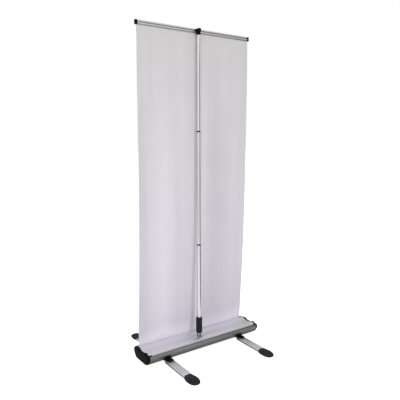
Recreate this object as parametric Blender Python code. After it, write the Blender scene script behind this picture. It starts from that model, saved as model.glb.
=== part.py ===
# Double-sided roll-up banner stand with a telescopic pole and four swivel feet.
# Metres, Z up. The origin is on the floor under the pole; X runs along the base, -Y is the front.

import math

import bmesh
import bpy
from mathutils import Matrix

# Clearances
seatGap = 0.0003  # between pieces that touch
runGap = 0.0004  # around pieces that turn

# Banner film
bannerWidth = 0.850
filmThickness = 0.0008
rippleDepth = 0.0016  # of the soft upright waves in the hanging film
rippleCount = 7
windingFull = 0.0205  # radius of the roll with the banner wound in
windingEmpty = 0.0176  # radius of the turns that stay on when it is out

# Top rails
railHeight = 0.027
railDepth = 0.012
railOverhang = 0.010  # past the film at each end, caps included
railCapLength = 0.0167
railTopZ = 2.1170
railOffset = 0.024  # of a raised rail's middle plane from the pole's axis
railGrip = 0.0075  # how far the film goes into the rail
gripSlot = 0.0014
hookGrooveHeight = 0.0034
hookGrooveDepth = 0.0026
hookGrooveDown = 0.0128  # groove's middle below the rail's top
seamGroove = 0.0018
seamDown = 0.0215
seamDepth = 0.0010
railPlug = 0.014

# Feet
footBarBottom = 0.003
footBarThickness = 0.0105
footBarWidth = 0.058
footBarLength = 0.2205  # from the pivot to the tip's face
footTipLength = 0.1002
footTipLap = 0.0130  # how far the tip's rounded lip lies over the bar
footTipWidth = 0.076
footTipHeight = 0.0162
footTipSwell = 0.4  # share of its length over which the tip widens
footTipFullness = 2.5  # power of the rounded outline's far part
footTipDroop = 0.42  # share of its height that the crown loses towards the end
footTipUnderside = 0.25
footTipCrown = 0.6
footTipSole = 0.063  # share of the rounded section that the flat sole takes off
footInset = 0.139  # of a foot's pivot from the hull's end
pivotInset = 0.003  # of a foot's pivot from the hull's widest line
footPlug = 0.025
footWall = 0.0030
footHollow = 0.120  # how far the bar is hollow from its open end
pivotBoltRadius = 0.004
pivotHeadRadius = 0.0075
pivotHeadHeight = 0.0020
pivotCapRadius = 0.0205
pivotCapHeight = 0.0065
pivotCapEdge = 0.0025
pivotBoltRise = 0.0045
pivotBossRadius = 0.010
bracketThickness = 0.0022
bracketReach = 0.066  # from the pivot back under the hull
bracketRivetPitch = 0.018
bracketRivetRadius = 0.0022
bracketRivetHead = 0.0042

# Base hull and saddle
hullEndRoom = 0.0095  # from the film's edge to the hull's end
wall = 0.0024
hullHalfDepth = 0.100
hullTuck = 0.0275  # how far the hull draws in from its widest line to its bottom edge
hullCorner = 0.006
hullWidestHeight = 0.048
hullLipHeight = 0.0605
hullLipInset = 0.0050
saddleValley = 0.0590  # above the hull's underside
saddleCrest = 0.0697
valleyFlat = 0.013  # half width of the level strip that the pole stands on
crestOffset = 0.051
slotInset = 0.0137  # of the slot's middle from the hull's widest line
slotWidth = 0.0152
saddleEdgeDrop = 0.0075
skirtDepth = 0.021
ribInner = 0.0183
screwPortSize = 0.009
screwPortHeight = 0.027  # port's middle above the hull's underside
screwPortDepth = 0.030
parkedLift = 0.0030  # of a wound-in rail's underside above the roller's axis

# End caps
capFlange = 0.006
capProud = 0.001
capBulge = 0.0150
capShrink = 0.19  # share of the outline that the dome loses at its outer face
railEndRoom = 0.0025

# Rollers
rollerOffset = 0.048
rollerHeight = 0.0345  # axis above the hull's underside
rollerTubeRadius = 0.0165
rollerTubeWall = 0.0013
rollerMargin = 0.001  # of bare roller tube at each side of the film
rollerPlugLength = 0.016
rollerFlange = 0.0022
spindleRadius = 0.004
springAxleLength = 0.170
idleAxleLength = 0.026
rollerSpringRadius = 0.0105  # outside of the close-wound spring pack
springDisc = 0.004
spindleSocket = 0.004

# Pole
lowerTubeRadius = 0.0125
middleTubeRadius = 0.0112
upperTubeRadius = 0.0099
tubeWall = 0.0010
spigotRadius = 0.0160
spigotShank = 0.010
spigotHeight = 0.0252
spigotStud = 0.020
sleeveRib = 0.0011
sleeveRibs = 11
sleeveHeight = 0.108
sleeveWall = 0.0050
sleeveLap = 0.004
flexWire = 0.0038
flexTurns = 11
tubePlugHead = 0.012
tubePlugShank = 0.028
lowerJointZ = 0.7165
upperJointZ = 1.4717
collarHeight = 0.0085
collarProud = 0.0010
tubeOverlap = 0.052
connectorRise = -0.0012  # of the prongs against a raised rail's top
connectorHeight = 0.0395
connectorWidth = 0.019
connectorNeck = 0.012
connectorCollar = 0.0116
connectorShank = 0.028
prongGap = 0.009
toothHeight = 0.0026
toothDepth = 0.0020

# Heights and places that follow
footBarTop = footBarBottom + footBarThickness
bracketBottom = footBarTop + 0.0010
bracketTop = bracketBottom + bracketThickness
hullBottom = bracketTop + seatGap
lipTop = hullBottom + hullLipHeight
hullEnd = bannerWidth / 2 + hullEndRoom
railEnd = bannerWidth / 2 + railOverhang
railMetalEnd = railEnd - railCapLength - seatGap
railMiddleZ = railTopZ - railHeight / 2
connectorTopZ = railTopZ + connectorRise
parkedBottomZ = hullBottom + rollerHeight + parkedLift
parkedMiddleZ = parkedBottomZ + railHeight / 2
hullBottomHalf = hullHalfDepth - hullTuck
footPivotX = hullEnd - footInset
footPivotY = hullHalfDepth - pivotInset
slotOffset = hullHalfDepth - slotInset
slotInner = slotOffset - slotWidth / 2
slotOuter = slotOffset + slotWidth / 2
rollerZ = hullBottom + rollerHeight
valleyZ = hullBottom + saddleValley
filmTopZ = railTopZ - railHeight + railGrip - seatGap
leadTopZ = parkedBottomZ - 0.0015
saddleTop = valleyZ + seatGap
spigotTop = saddleTop + spigotHeight
sleeveBottom = spigotTop - sleeveLap
sleeveTop = sleeveBottom + sleeveHeight


def clearScene():
    for old in list(bpy.data.objects):
        bpy.data.objects.remove(old, do_unlink=True)


def makeMaterial(name, colour, roughness, metallic):
    material = bpy.data.materials.new(name)
    material.use_nodes = True
    shader = material.node_tree.nodes["Principled BSDF"]
    shader.inputs["Base Color"].default_value = (*colour, 1.0)
    shader.inputs["Roughness"].default_value = roughness
    shader.inputs["Metallic"].default_value = metallic
    material.diffuse_color = (*colour, 1.0)
    return material


def finishObject(name, work, material, place=(0.0, 0.0, 0.0), smooth=True):
    """Turn a bmesh into a named object at its place."""
    bmesh.ops.recalc_face_normals(work, faces=work.faces)
    mesh = bpy.data.meshes.new(name)
    work.to_mesh(mesh)
    work.free()
    if smooth:
        mesh.shade_smooth()
        mesh.set_sharp_from_angle(angle=math.radians(32))
    made = bpy.data.objects.new(name, mesh)
    made.location = place
    bpy.context.collection.objects.link(made)
    if material:
        mesh.materials.append(material)
    return made


def prism(name, outline, start, end, across, material, place=(0.0, 0.0, 0.0)):
    """Extrude a flat outline from start to end. across 'X' reads it as (y, z), 'Z' as (x, y)."""
    work = bmesh.new()
    if across == "X":
        corners = [work.verts.new((start, a, b)) for a, b in outline]
        shift = (end - start, 0.0, 0.0)
    else:
        corners = [work.verts.new((a, b, start)) for a, b in outline]
        shift = (0.0, 0.0, end - start)
    face = work.faces.new(corners)
    grown = bmesh.ops.extrude_face_region(work, geom=[face])["geom"]
    moved = [item for item in grown if isinstance(item, bmesh.types.BMVert)]
    bmesh.ops.translate(work, verts=moved, vec=shift)
    return finishObject(name, work, material, place)


def box(name, low, high, material=None):
    outline = [(low[0], low[1]), (high[0], low[1]), (high[0], high[1]), (low[0], high[1])]
    return prism(name, outline, low[2], high[2], "Z", material)


def turned(name, profile, place, axis, material, segments=32):
    """Spin (radius, height) points about an axis. Points that start on the axis make a solid."""
    work = bmesh.new()
    points = [work.verts.new((radius, 0.0, height)) for radius, height in profile]
    onAxis = profile[0][0] == 0.0
    nexts = points[1:] if onAxis else points[1:] + points[:1]
    edges = [work.edges.new(pair) for pair in zip(points, nexts)]
    bmesh.ops.spin(
        work,
        geom=points + edges,
        axis=(0.0, 0.0, 1.0),
        cent=(0.0, 0.0, 0.0),
        angle=math.tau,
        steps=segments,
        use_merge=True,
    )
    bmesh.ops.remove_doubles(work, verts=work.verts, dist=1e-6)
    if axis == "X":
        bmesh.ops.rotate(work, verts=work.verts, matrix=Matrix.Rotation(math.pi / 2, 3, "Y"))
    return finishObject(name, work, material, place)


def ring(outer, inner, low, high):
    """A tube's profile, down its outer side."""
    return [(outer, high), (outer, low), (inner, low), (inner, high)]


def rod(radius, low, high):
    """A plain round bar's profile."""
    return [(0.0, high), (radius, high), (radius, low), (0.0, low)]


def loft(name, rings, material, place=(0.0, 0.0, 0.0)):
    """Join closed rings of equal count, one after the other, and close both ends."""
    work = bmesh.new()
    loops = [[work.verts.new(point) for point in points] for points in rings]
    for one, other in zip(loops, loops[1:]):
        count = len(one)
        for i in range(count):
            j = (i + 1) % count
            work.faces.new((one[i], one[j], other[j], other[i]))
    work.faces.new(loops[0])
    work.faces.new(list(reversed(loops[-1])))
    return finishObject(name, work, material, place)


def hideCutter(cutter):
    cutter.hide_render = True
    cutter.display_type = "WIRE"


def combine(target, tool, operation):
    step = target.modifiers.new(tool.name, "BOOLEAN")
    step.operation = operation
    step.solver = "EXACT"
    step.object = tool
    hideCutter(tool)


def cut(target, tool):
    combine(target, tool, "DIFFERENCE")


def join(target, tool):
    combine(target, tool, "UNION")


def softenEdges(target, width, segments=2):
    step = target.modifiers.new("soft_edges", "BEVEL")
    step.width = width
    step.segments = segments
    step.limit_method = "ANGLE"
    step.angle_limit = math.radians(60)


def filmStrip(name, path, width, material):
    """A film of the given width along (y, z) points, thickened evenly."""
    work = bmesh.new()
    left = [work.verts.new((-width / 2, y, z)) for y, z in path]
    right = [work.verts.new((width / 2, y, z)) for y, z in path]
    for i in range(len(path) - 1):
        work.faces.new((left[i], right[i], right[i + 1], left[i + 1]))
    made = finishObject(name, work, material)
    thicken(made)
    return made


def thicken(sheet):
    step = sheet.modifiers.new("film_thickness", "SOLIDIFY")
    step.thickness = filmThickness
    step.offset = 0.0


def helix(name, radius, wire, turns, start, end, material):
    """One unbroken upright wire with a steady pitch. Prints the least gap between its turns."""
    perTurn = 8
    count = turns * perTurn
    low = start + wire / 2
    high = end - wire / 2
    points = []
    for i in range(count + 1):
        angle = math.tau * i / perTurn
        along = low + (high - low) * i / count
        points.append((radius * math.cos(angle), radius * math.sin(angle), along))
    apart = [math.dist(points[i], other) for i in range(count + 1) for other in points[i + perTurn - 2 :]]
    print(name, "least gap between turns, mm:", round((min(apart) - wire) * 1000, 2))
    curve = bpy.data.curves.new(name, "CURVE")
    curve.dimensions = "3D"
    curve.bevel_depth = wire / 2
    curve.bevel_resolution = 1
    curve.use_fill_caps = True
    spline = curve.splines.new("POLY")
    spline.points.add(count)
    for point, where in zip(spline.points, points):
        point.co = (*where, 1.0)
    curve.materials.append(material)
    made = bpy.data.objects.new(name, curve)
    bpy.context.collection.objects.link(made)
    return made


def saddleCurve():
    """Top of the saddle, middle to edge: level, a raised cosine to the crest, a falling quarter."""
    points = [(0.0, valleyZ)]
    inner, outer = 10, 5
    for i in range(inner + 1):
        share = i / inner
        rise = (saddleCrest - saddleValley) * (1 - math.cos(math.pi * share)) / 2
        points.append((valleyFlat + (crestOffset - valleyFlat) * share, valleyZ + rise))
    crestZ = hullBottom + saddleCrest
    for i in range(1, outer + 1):
        share = i / outer
        fall = saddleEdgeDrop * (1 - math.cos(math.pi / 2 * share))
        points.append((crestOffset + (slotInner - crestOffset) * share, crestZ - fall))
    return points


def hullSide(inset):
    """Side of the hull from its bottom corner to the lip: a sine swell, then a quarter ellipse."""
    points = []
    swell, over = 6, 4
    low = hullBottom + 0.0022 + inset * 0.4
    widest = hullBottom + hullWidestHeight
    for i in range(swell + 1):
        share = i / swell
        reach = hullBottomHalf + (hullHalfDepth - hullBottomHalf) * math.sin(math.pi / 2 * share)
        points.append((reach - inset, low + (widest - low) * share))
    for i in range(1, over + 1):
        angle = math.pi / 2 * i / over
        reach = hullHalfDepth - hullLipInset * (1 - math.cos(angle))
        points.append((reach - inset, widest + (lipTop - inset - widest) * math.sin(angle)))
    return points


def mirrored(half):
    """Close a half outline with its mirror image across the middle plane."""
    return half + [(-y, z) for y, z in reversed(half)]


def makeHull(metal):
    floor = hullBottom + wall
    ribOuter = ribInner + 0.002
    ribTop = valleyZ - wall - 0.0008
    portLow = hullBottom + screwPortHeight - screwPortSize / 2
    portHigh = portLow + screwPortSize
    portOuter = ribInner + screwPortSize - 0.001
    outer = [(hullBottomHalf - hullCorner, hullBottom)] + hullSide(0.0)
    inner = hullSide(wall)
    lip = [(slotOuter, lipTop - 0.0004), (slotOuter, lipTop - wall)]
    half = outer + lip + list(reversed(inner[:-1]))
    half += [
        (hullBottomHalf - hullCorner, floor),
        (ribOuter, floor),
        (ribOuter, portLow),
        (portOuter, portLow),
        (portOuter, portHigh),
        (ribOuter, portHigh),
        (ribOuter, ribTop),
        (ribInner, ribTop),
        (ribInner, floor),
    ]
    hull = prism("base_hull", mirrored(half), -hullEnd, hullEnd, "X", metal)
    for end in (-1, 1):
        for side in (-1, 1):
            low, high = sorted((end * (hullEnd + 0.001), end * (hullEnd - screwPortDepth)))
            name = f"cut_hull_port_{end}_{side}"
            place = (0.0, side * screwLine(), hullBottom + screwPortHeight)
            cut(hull, turned(name, rod(0.0022, low, high), place, "X", None, 12))
            for row in (0, 1):
                y = side * (footPivotY - bracketRivetY(row))
                name = f"cut_hull_floor_{end}_{side}_{row}"
                profile = rod(bracketRivetRadius + seatGap, hullBottom - 0.001, floor + 0.001)
                cut(hull, turned(name, profile, (end * footPivotX, y, 0.0), "Z", None, 12))
    return hull


def screwLine():
    """Distance of an end cap screw from the middle plane."""
    return ribInner + screwPortSize / 2 - 0.0005


def bracketRivetY(row):
    """Distance of a bracket rivet from the foot's pivot."""
    return bracketReach - 0.010 - row * bracketRivetPitch


def makeSaddle(metal):
    top = saddleCurve()
    under = [(y, z - wall) for y, z in top[:-2]]
    edgeZ = top[-1][1]
    skirtZ = edgeZ - skirtDepth
    half = top + [(slotInner, skirtZ), (slotInner - 0.002, skirtZ)]
    half += [(slotInner - 0.002, top[-2][1] - wall - 0.0005)] + list(reversed(under[1:]))
    outline = half + [under[0]] + [(-y, z) for y, z in reversed(half[1:])]
    saddle = prism("base_saddle", outline, -hullEnd, hullEnd, "X", metal)
    hole = rod(spigotShank + runGap, valleyZ - 0.010, valleyZ + 0.010)
    cut(saddle, turned("cut_saddle_hole", hole, (0.0, 0.0, 0.0), "Z", None, 24))
    seat = rod(spigotRadius + seatGap, valleyZ, valleyZ + 0.010)
    cut(saddle, turned("cut_saddle_seat", seat, (0.0, 0.0, 0.0), "Z", None, 28))
    return saddle


def capOutline():
    """Silhouette of the whole base section, a little proud of it."""
    top = [(y, z + capProud) for y, z in saddleCurve()]
    side = hullSide(-capProud)
    bottom = [(hullBottomHalf - hullCorner, hullBottom - seatGap / 2)]
    crossing = [(slotOffset, (top[-1][1] + lipTop + capProud) / 2)]
    half = bottom + side + crossing + list(reversed(top[1:]))
    return half + [top[0]] + [(-y, z) for y, z in reversed(half)]


def makeEndCap(end, plastic):
    name = "end_cap_right" if end > 0 else "end_cap_left"
    outline = capOutline()
    middleZ = hullBottom + hullLipHeight / 2
    start = hullEnd + seatGap
    flange = start + capFlange
    stations = [(start, 1.0), (flange, 1.0)]
    for i in range(1, 4):
        angle = math.pi / 2 * i / 3
        stations.append((flange + capBulge * math.sin(angle), 1 - capShrink * (1 - math.cos(angle))))
    rings = []
    for x, scale in stations:
        rings.append([(end * x, y * scale, middleZ + (z - middleZ) * scale) for y, z in outline])
    cap = loft(name, rings, plastic)
    outerFace = flange + capBulge
    for side in (-1, 1):
        lane = sorted((side * (slotInner - 0.0002), side * (slotOuter + 0.0002)))
        reach = sorted((end * (start - 0.002), end * (railEnd + railEndRoom)))
        low = (reach[0], lane[0], parkedBottomZ - 0.002)
        high = (reach[1], lane[1], lipTop + 0.020)
        cut(cap, box(f"cut_{name}_lane_{side}", low, high))
        depth = sorted((end * (start - 0.002), end * (start + spindleSocket)))
        seat = rod(spindleRadius + seatGap, depth[0], depth[1])
        place = (0.0, side * rollerOffset, rollerZ)
        cut(cap, turned(f"cut_{name}_spindle_{side}", seat, place, "X", None, 20))
        place = (0.0, side * screwLine(), hullBottom + screwPortHeight)
        sunk = sorted((end * (outerFace - 0.0022), end * (outerFace + 0.002)))
        cut(cap, turned(f"cut_{name}_head_{side}", rod(0.0055, *sunk), place, "X", None, 20))
        profile = [(radius, end * x) for radius, x in screwProfile(outerFace)]
        join(cap, turned(f"join_{name}_screw_{side}", profile, place, "X", None, 12))
    return cap


def screwProfile(outerFace):
    """Pan head sunk in the cap's face and a shank that reaches into the hull's screw port."""
    head = outerFace - 0.0002
    return [
        (0.0, head),
        (0.0030, head),
        (0.0043, head - 0.0006),
        (0.0043, head - 0.0018),
        (0.0019, head - 0.0018),
        (0.0019, hullEnd - 0.020),
        (0.0, hullEnd - 0.020),
    ]


def makeRoller(side, materials):
    """Tube, plugs, axles, spring and winding of one banner's roller."""
    word = "rear" if side > 0 else "front"
    place = (0.0, side * rollerOffset, rollerZ)
    half = bannerWidth / 2 + rollerMargin
    inner = rollerTubeRadius - rollerTubeWall
    profile = ring(rollerTubeRadius, inner, -half, half)
    turned(f"{word}_roller_tube", profile, place, "X", materials["tube"], 24)
    wound = windingEmpty if side > 0 else windingFull
    film = ring(wound, rollerTubeRadius + seatGap / 2, -bannerWidth / 2, bannerWidth / 2)
    turned(f"{word}_winding", film, place, "X", materials["film"], 24)
    bore = spindleRadius + runGap
    for end, hand in ((-1, "left"), (1, "right")):
        profile = [
            (bore, half - rollerPlugLength),
            (inner - seatGap, half - rollerPlugLength),
            (inner - seatGap, half + seatGap),
            (rollerTubeRadius, half + seatGap),
            (rollerTubeRadius, half + rollerFlange),
            (bore, half + rollerFlange),
        ]
        profile = [(radius, end * x) for radius, x in profile]
        turned(f"{word}_roller_plug_{hand}", profile, place, "X", materials["plastic"], 20)
    axleEnd = hullEnd + spindleSocket
    turned(
        f"{word}_idle_axle",
        rod(spindleRadius, -axleEnd, -axleEnd + idleAxleLength),
        place,
        "X",
        materials["steel"],
        16,
    )
    disc = axleEnd - springAxleLength
    profile = [
        (0.0, axleEnd),
        (spindleRadius, axleEnd),
        (spindleRadius, disc + springDisc),
        (rollerSpringRadius + 0.001, disc + springDisc),
        (rollerSpringRadius + 0.001, disc),
        (0.0, disc),
    ]
    turned(f"{word}_spring_axle", profile, place, "X", materials["steel"], 16)
    pack = ring(
        rollerSpringRadius,
        spindleRadius + runGap,
        disc + springDisc + seatGap,
        half - rollerPlugLength - seatGap,
    )
    turned(f"{word}_roller_spring", pack, place, "X", materials["spring"], 20)


def railOutline(side, grooves):
    """Rail section about its middle as (y, z). The pole's side is at -y for the rear rail."""
    deep = railDepth / 2
    tall = railHeight / 2
    grow = 0.0 if grooves else 0.0002
    slot = gripSlot / 2
    points = [(slot, -tall - grow)]
    if grooves:
        points += [(slot, -tall + railGrip), (-slot, -tall + railGrip), (-slot, -tall)]
    points += [(-deep + 0.0012, -tall - grow), (-deep - grow, -tall + 0.0012)]
    if grooves:
        for down, height, depth in (
            (seamDown, seamGroove, seamDepth),
            (hookGrooveDown, hookGrooveHeight, hookGrooveDepth),
        ):
            middle = tall - down
            points += [
                (-deep, middle - height / 2),
                (-deep + depth, middle - height / 2),
                (-deep + depth, middle + height / 2),
                (-deep, middle + height / 2),
            ]
    round_ = 0.0045
    for i in range(5):
        angle = math.pi / 2 * i / 4
        reach = deep + grow - round_ * (1 - math.cos(angle))
        points.append((-reach, tall + grow - round_ * (1 - math.sin(angle))))
    for i in range(4, -1, -1):
        angle = math.pi / 2 * i / 4
        reach = deep + grow - round_ * (1 - math.cos(angle))
        points.append((reach, tall + grow - round_ * (1 - math.sin(angle))))
    points += [(deep + grow, -tall + 0.0012), (deep - 0.0012, -tall - grow)]
    return [(side * y, z) for y, z in points]


def railCavity(side, inset):
    """Corners of the hollow behind the hook groove, about the rail's middle."""
    deep = railDepth / 2
    tall = railHeight / 2
    edges = sorted((side * (-deep + hookGrooveDepth + 0.0016), side * (deep - 0.0018)))
    return (edges[0] + inset, -tall + railGrip + 0.0018 + inset), (edges[1] - inset, tall - 0.0045 - inset)


def makeRail(side, middleY, middleZ, metal, plastic):
    word = "rear" if side > 0 else "front"
    place = (0.0, middleY, middleZ)
    rail = prism(f"{word}_rail", railOutline(side, True), -railMetalEnd, railMetalEnd, "X", metal, place)
    low, high = railCavity(side, 0.0)
    hollow = box(f"cut_{word}_rail", (-railEnd, *low), (railEnd, *high))
    hollow.location = place
    cut(rail, hollow)
    for end, hand in ((-1, "left"), (1, "right")):
        start = railEnd - railCapLength
        ends = sorted((end * start, end * railEnd))
        name = f"{word}_rail_cap_{hand}"
        cap = prism(name, railOutline(side, False), *ends, "X", plastic, place)
        low, high = railCavity(side, seatGap)
        reach = sorted((end * (start - railPlug), end * (start + 0.002)))
        plug = box(f"join_{name}", (reach[0], *low), (reach[1], *high))
        plug.location = place
        join(cap, plug)
        reach = sorted((end * (start - 0.001), end * (bannerWidth / 2 + 0.0005)))
        low = (reach[0], -gripSlot / 2, -railHeight / 2 - 0.002)
        high = (reach[1], gripSlot / 2, -railHeight / 2 + railGrip)
        slit = box(f"cut_{name}", low, high)
        slit.location = place
        cut(cap, slit)


def bannerLine(share):
    """Middle line of the hanging film, from the slot (0) to the rail (1): a cubic lean."""
    down = 1.0 - share
    y = railOffset + (slotOffset - railOffset) * down**3
    z = leadTopZ + seatGap + (filmTopZ - leadTopZ - seatGap) * share
    return y, z


def makeBanner(fabric):
    """Hanging film with soft upright waves that fade out at the rail and at the slot."""
    columns, rows = 30, 14
    work = bmesh.new()
    grid = []
    for j in range(rows + 1):
        share = j / rows
        y, z = bannerLine(share)
        fade = math.sin(math.pi * min(1.0, share * 1.02)) ** 0.7 if 0 < share < 1 else 0.0
        row = []
        for i in range(columns + 1):
            across = i / columns
            x = bannerWidth * (across - 0.5)
            wave = math.sin(math.tau * rippleCount / 2 * across + 1.3 * math.sin(math.pi * share))
            row.append(work.verts.new((x, y + rippleDepth * fade * wave, z)))
        grid.append(row)
    for one, other in zip(grid, grid[1:]):
        for i in range(columns):
            work.faces.new((one[i], one[i + 1], other[i + 1], other[i]))
    thicken(finishObject("rear_banner", work, fabric))


def makeLeads(fabric):
    """Film from each winding to the foot of its slot, and the stub held by the parked front rail."""
    for side, word, wound in ((1, "rear", windingEmpty), (-1, "front", windingFull)):
        angle = math.radians(-58)
        radius = wound + filmThickness + seatGap
        startY = rollerOffset + radius * math.cos(angle)
        startZ = rollerZ + radius * math.sin(angle)
        heading = (-math.sin(angle), math.cos(angle))
        reach = 0.022
        path = []
        for i in range(9):
            t = i / 8
            weights = ((1 - t) ** 3, 3 * (1 - t) ** 2 * t, 3 * (1 - t) * t**2, t**3)
            ys = (startY, startY + reach * heading[0], slotOffset, slotOffset)
            zs = (startZ, startZ + reach * heading[1], leadTopZ - 0.012, leadTopZ)
            y = sum(w * v for w, v in zip(weights, ys))
            z = sum(w * v for w, v in zip(weights, zs))
            path.append((side * y, z))
        filmStrip(f"{word}_film_lead", path, bannerWidth, fabric)
    top = parkedBottomZ + railGrip - seatGap
    path = [(-slotOffset, leadTopZ + seatGap + (top - leadTopZ - seatGap) * i / 4) for i in range(5)]
    filmStrip("front_film_stub", path, bannerWidth, fabric)


def makeFoot(side, end, materials):
    """Bar and tip that swing on a pivot under the hull's edge, with the fixed pieces of that pivot."""
    word = f"{'rear' if side > 0 else 'front'}_{'right' if end > 0 else 'left'}"
    place = (end * footPivotX, side * footPivotY, 0.0)
    half = footBarWidth / 2
    outline = [(-half, side * footBarLength), (half, side * footBarLength)]
    for i in range(13):
        angle = math.pi * i / 12
        outline.append((half * math.cos(angle), -side * half * math.sin(angle)))
    bar = prism(f"foot_bar_{word}", outline, footBarBottom, footBarTop, "Z", materials["metal"], place)
    softenEdges(bar, 0.0024)
    reach = sorted((side * (footBarLength - footHollow), side * (footBarLength + 0.010)))
    low = (-half + footWall, reach[0], footBarBottom + 0.003)
    high = (half - footWall, reach[1], footBarTop - 0.003)
    hollow = box(f"cut_bar_{word}", low, high)
    hollow.location = place
    cut(bar, hollow)
    hole = rod(pivotBoltRadius + runGap, footBarBottom - 0.001, footBarTop + 0.001)
    cut(bar, turned(f"cut_pivot_{word}", hole, place, "Z", None, 20))
    makeFootTip(side, word, place, low, high, materials["rubber"])
    makeFootPivot(side, word, place, materials)


def makeFootTip(side, word, place, low, high, rubber):
    """Oval moulded tip: rounded sections that swell and close along an ellipse, a plug and a lip."""
    start = footBarLength + seatGap
    rootWidth = footBarWidth / 2 + 0.001
    rings = []
    stations = 11
    for i in range(stations):
        t = i / (stations - 0.8)
        swell = min(1.0, t / footTipSwell)
        width = rootWidth + (footTipWidth / 2 - rootWidth) * math.sin(math.pi / 2 * swell)
        late = max(0.0, (t - footTipSwell) / (1 - footTipSwell))
        width *= (1 - late**footTipFullness) ** (1 / footTipFullness)
        height = footTipHeight * (1 - footTipDroop * late**2)
        points = []
        for k in range(20):
            angle = math.tau * k / 20
            x = width * math.copysign(abs(math.cos(angle)) ** footTipCrown, math.cos(angle))
            flat = footTipUnderside if math.sin(angle) < 0 else footTipCrown
            rise = (1 + math.copysign(abs(math.sin(angle)) ** flat, math.sin(angle))) / 2
            z = height * max(0.0, rise - footTipSole) / (1 - footTipSole)
            points.append((x, side * (start + footTipLength * t), z))
        rings.append(points)
    tip = loft(f"foot_tip_{word}", rings, rubber, place)
    reach = sorted((side * (footBarLength - footPlug), side * (start + 0.004)))
    plugLow = (low[0] + seatGap, reach[0], low[2] + seatGap)
    plugHigh = (high[0] - seatGap, reach[1], high[2] - seatGap)
    plug = box(f"join_tip_{word}", plugLow, plugHigh)
    plug.location = place
    join(tip, plug)
    lapHalf = rootWidth * 0.72
    outline = [(lapHalf, side * (start + 0.004)), (-lapHalf, side * (start + 0.004))]
    for i in range(9):
        angle = math.pi * i / 8
        outline.append((-lapHalf * math.cos(angle), side * (start - footTipLap * math.sin(angle))))
    lapLow = footBarTop + seatGap
    lapTop = lapLow + (footTipHeight - lapLow) * 0.5
    join(tip, prism(f"join_lip_{word}", outline, lapLow, lapTop, "Z", rubber, place))


def makeFootPivot(side, word, place, materials):
    half = footBarWidth / 2 + 0.0005
    outline = [(half, -side * bracketReach), (-half, -side * bracketReach)]
    for i in range(13):
        angle = math.pi * i / 12
        outline.append((-half * math.cos(angle), side * half * math.sin(angle)))
    name = f"foot_bracket_{word}"
    bracket = prism(name, outline, bracketBottom, bracketTop, "Z", materials["steel"], place)
    boss = rod(pivotBossRadius, footBarTop + seatGap, bracketBottom + 0.001)
    join(bracket, turned(f"join_boss_{word}", boss, place, "Z", None, 20))
    hole = rod(pivotBoltRadius + seatGap, footBarTop - 0.001, bracketTop + 0.001)
    cut(bracket, turned(f"cut_bracket_{word}", hole, place, "Z", None, 20))
    rivetTop = hullBottom + wall + 0.0015
    rivet = [
        (0.0, rivetTop),
        (bracketRivetRadius, rivetTop),
        (bracketRivetRadius, bracketBottom + 0.0005),
        (bracketRivetHead, bracketBottom + 0.0005),
        (bracketRivetHead, bracketBottom - 0.0003),
        (bracketRivetHead * 0.7, bracketBottom - 0.0016),
        (0.0, bracketBottom - 0.0016),
    ]
    for row in (0, 1):
        where = (place[0], place[1] - side * bracketRivetY(row), 0.0)
        join(bracket, turned(f"join_rivet_{word}_{row}", rivet, where, "Z", None, 8))
    boltTop = bracketTop + pivotBoltRise
    headTop = footBarBottom - seatGap
    profile = [
        (0.0, boltTop),
        (pivotBoltRadius, boltTop),
        (pivotBoltRadius, headTop),
        (pivotHeadRadius, headTop),
        (pivotHeadRadius, headTop - pivotHeadHeight),
        (0.0, headTop - pivotHeadHeight),
    ]
    turned(f"pivot_bolt_{word}", profile, place, "Z", materials["steel"], 16)
    base = bracketTop + seatGap
    bore = pivotBoltRadius + seatGap
    crown = boltTop + seatGap
    dome = [(0.0, base + pivotCapHeight)]
    for i in range(1, 5):
        angle = math.pi / 2 * i / 4
        rise = pivotCapHeight - pivotCapEdge
        dome.append((pivotCapRadius * math.sin(angle), base + pivotCapEdge + rise * math.cos(angle)))
    profile = dome + [(pivotCapRadius, base), (bore, base), (bore, crown), (0.0, crown)]
    turned(f"pivot_cap_{word}", profile, place, "Z", materials["plastic"], 20)


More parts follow.
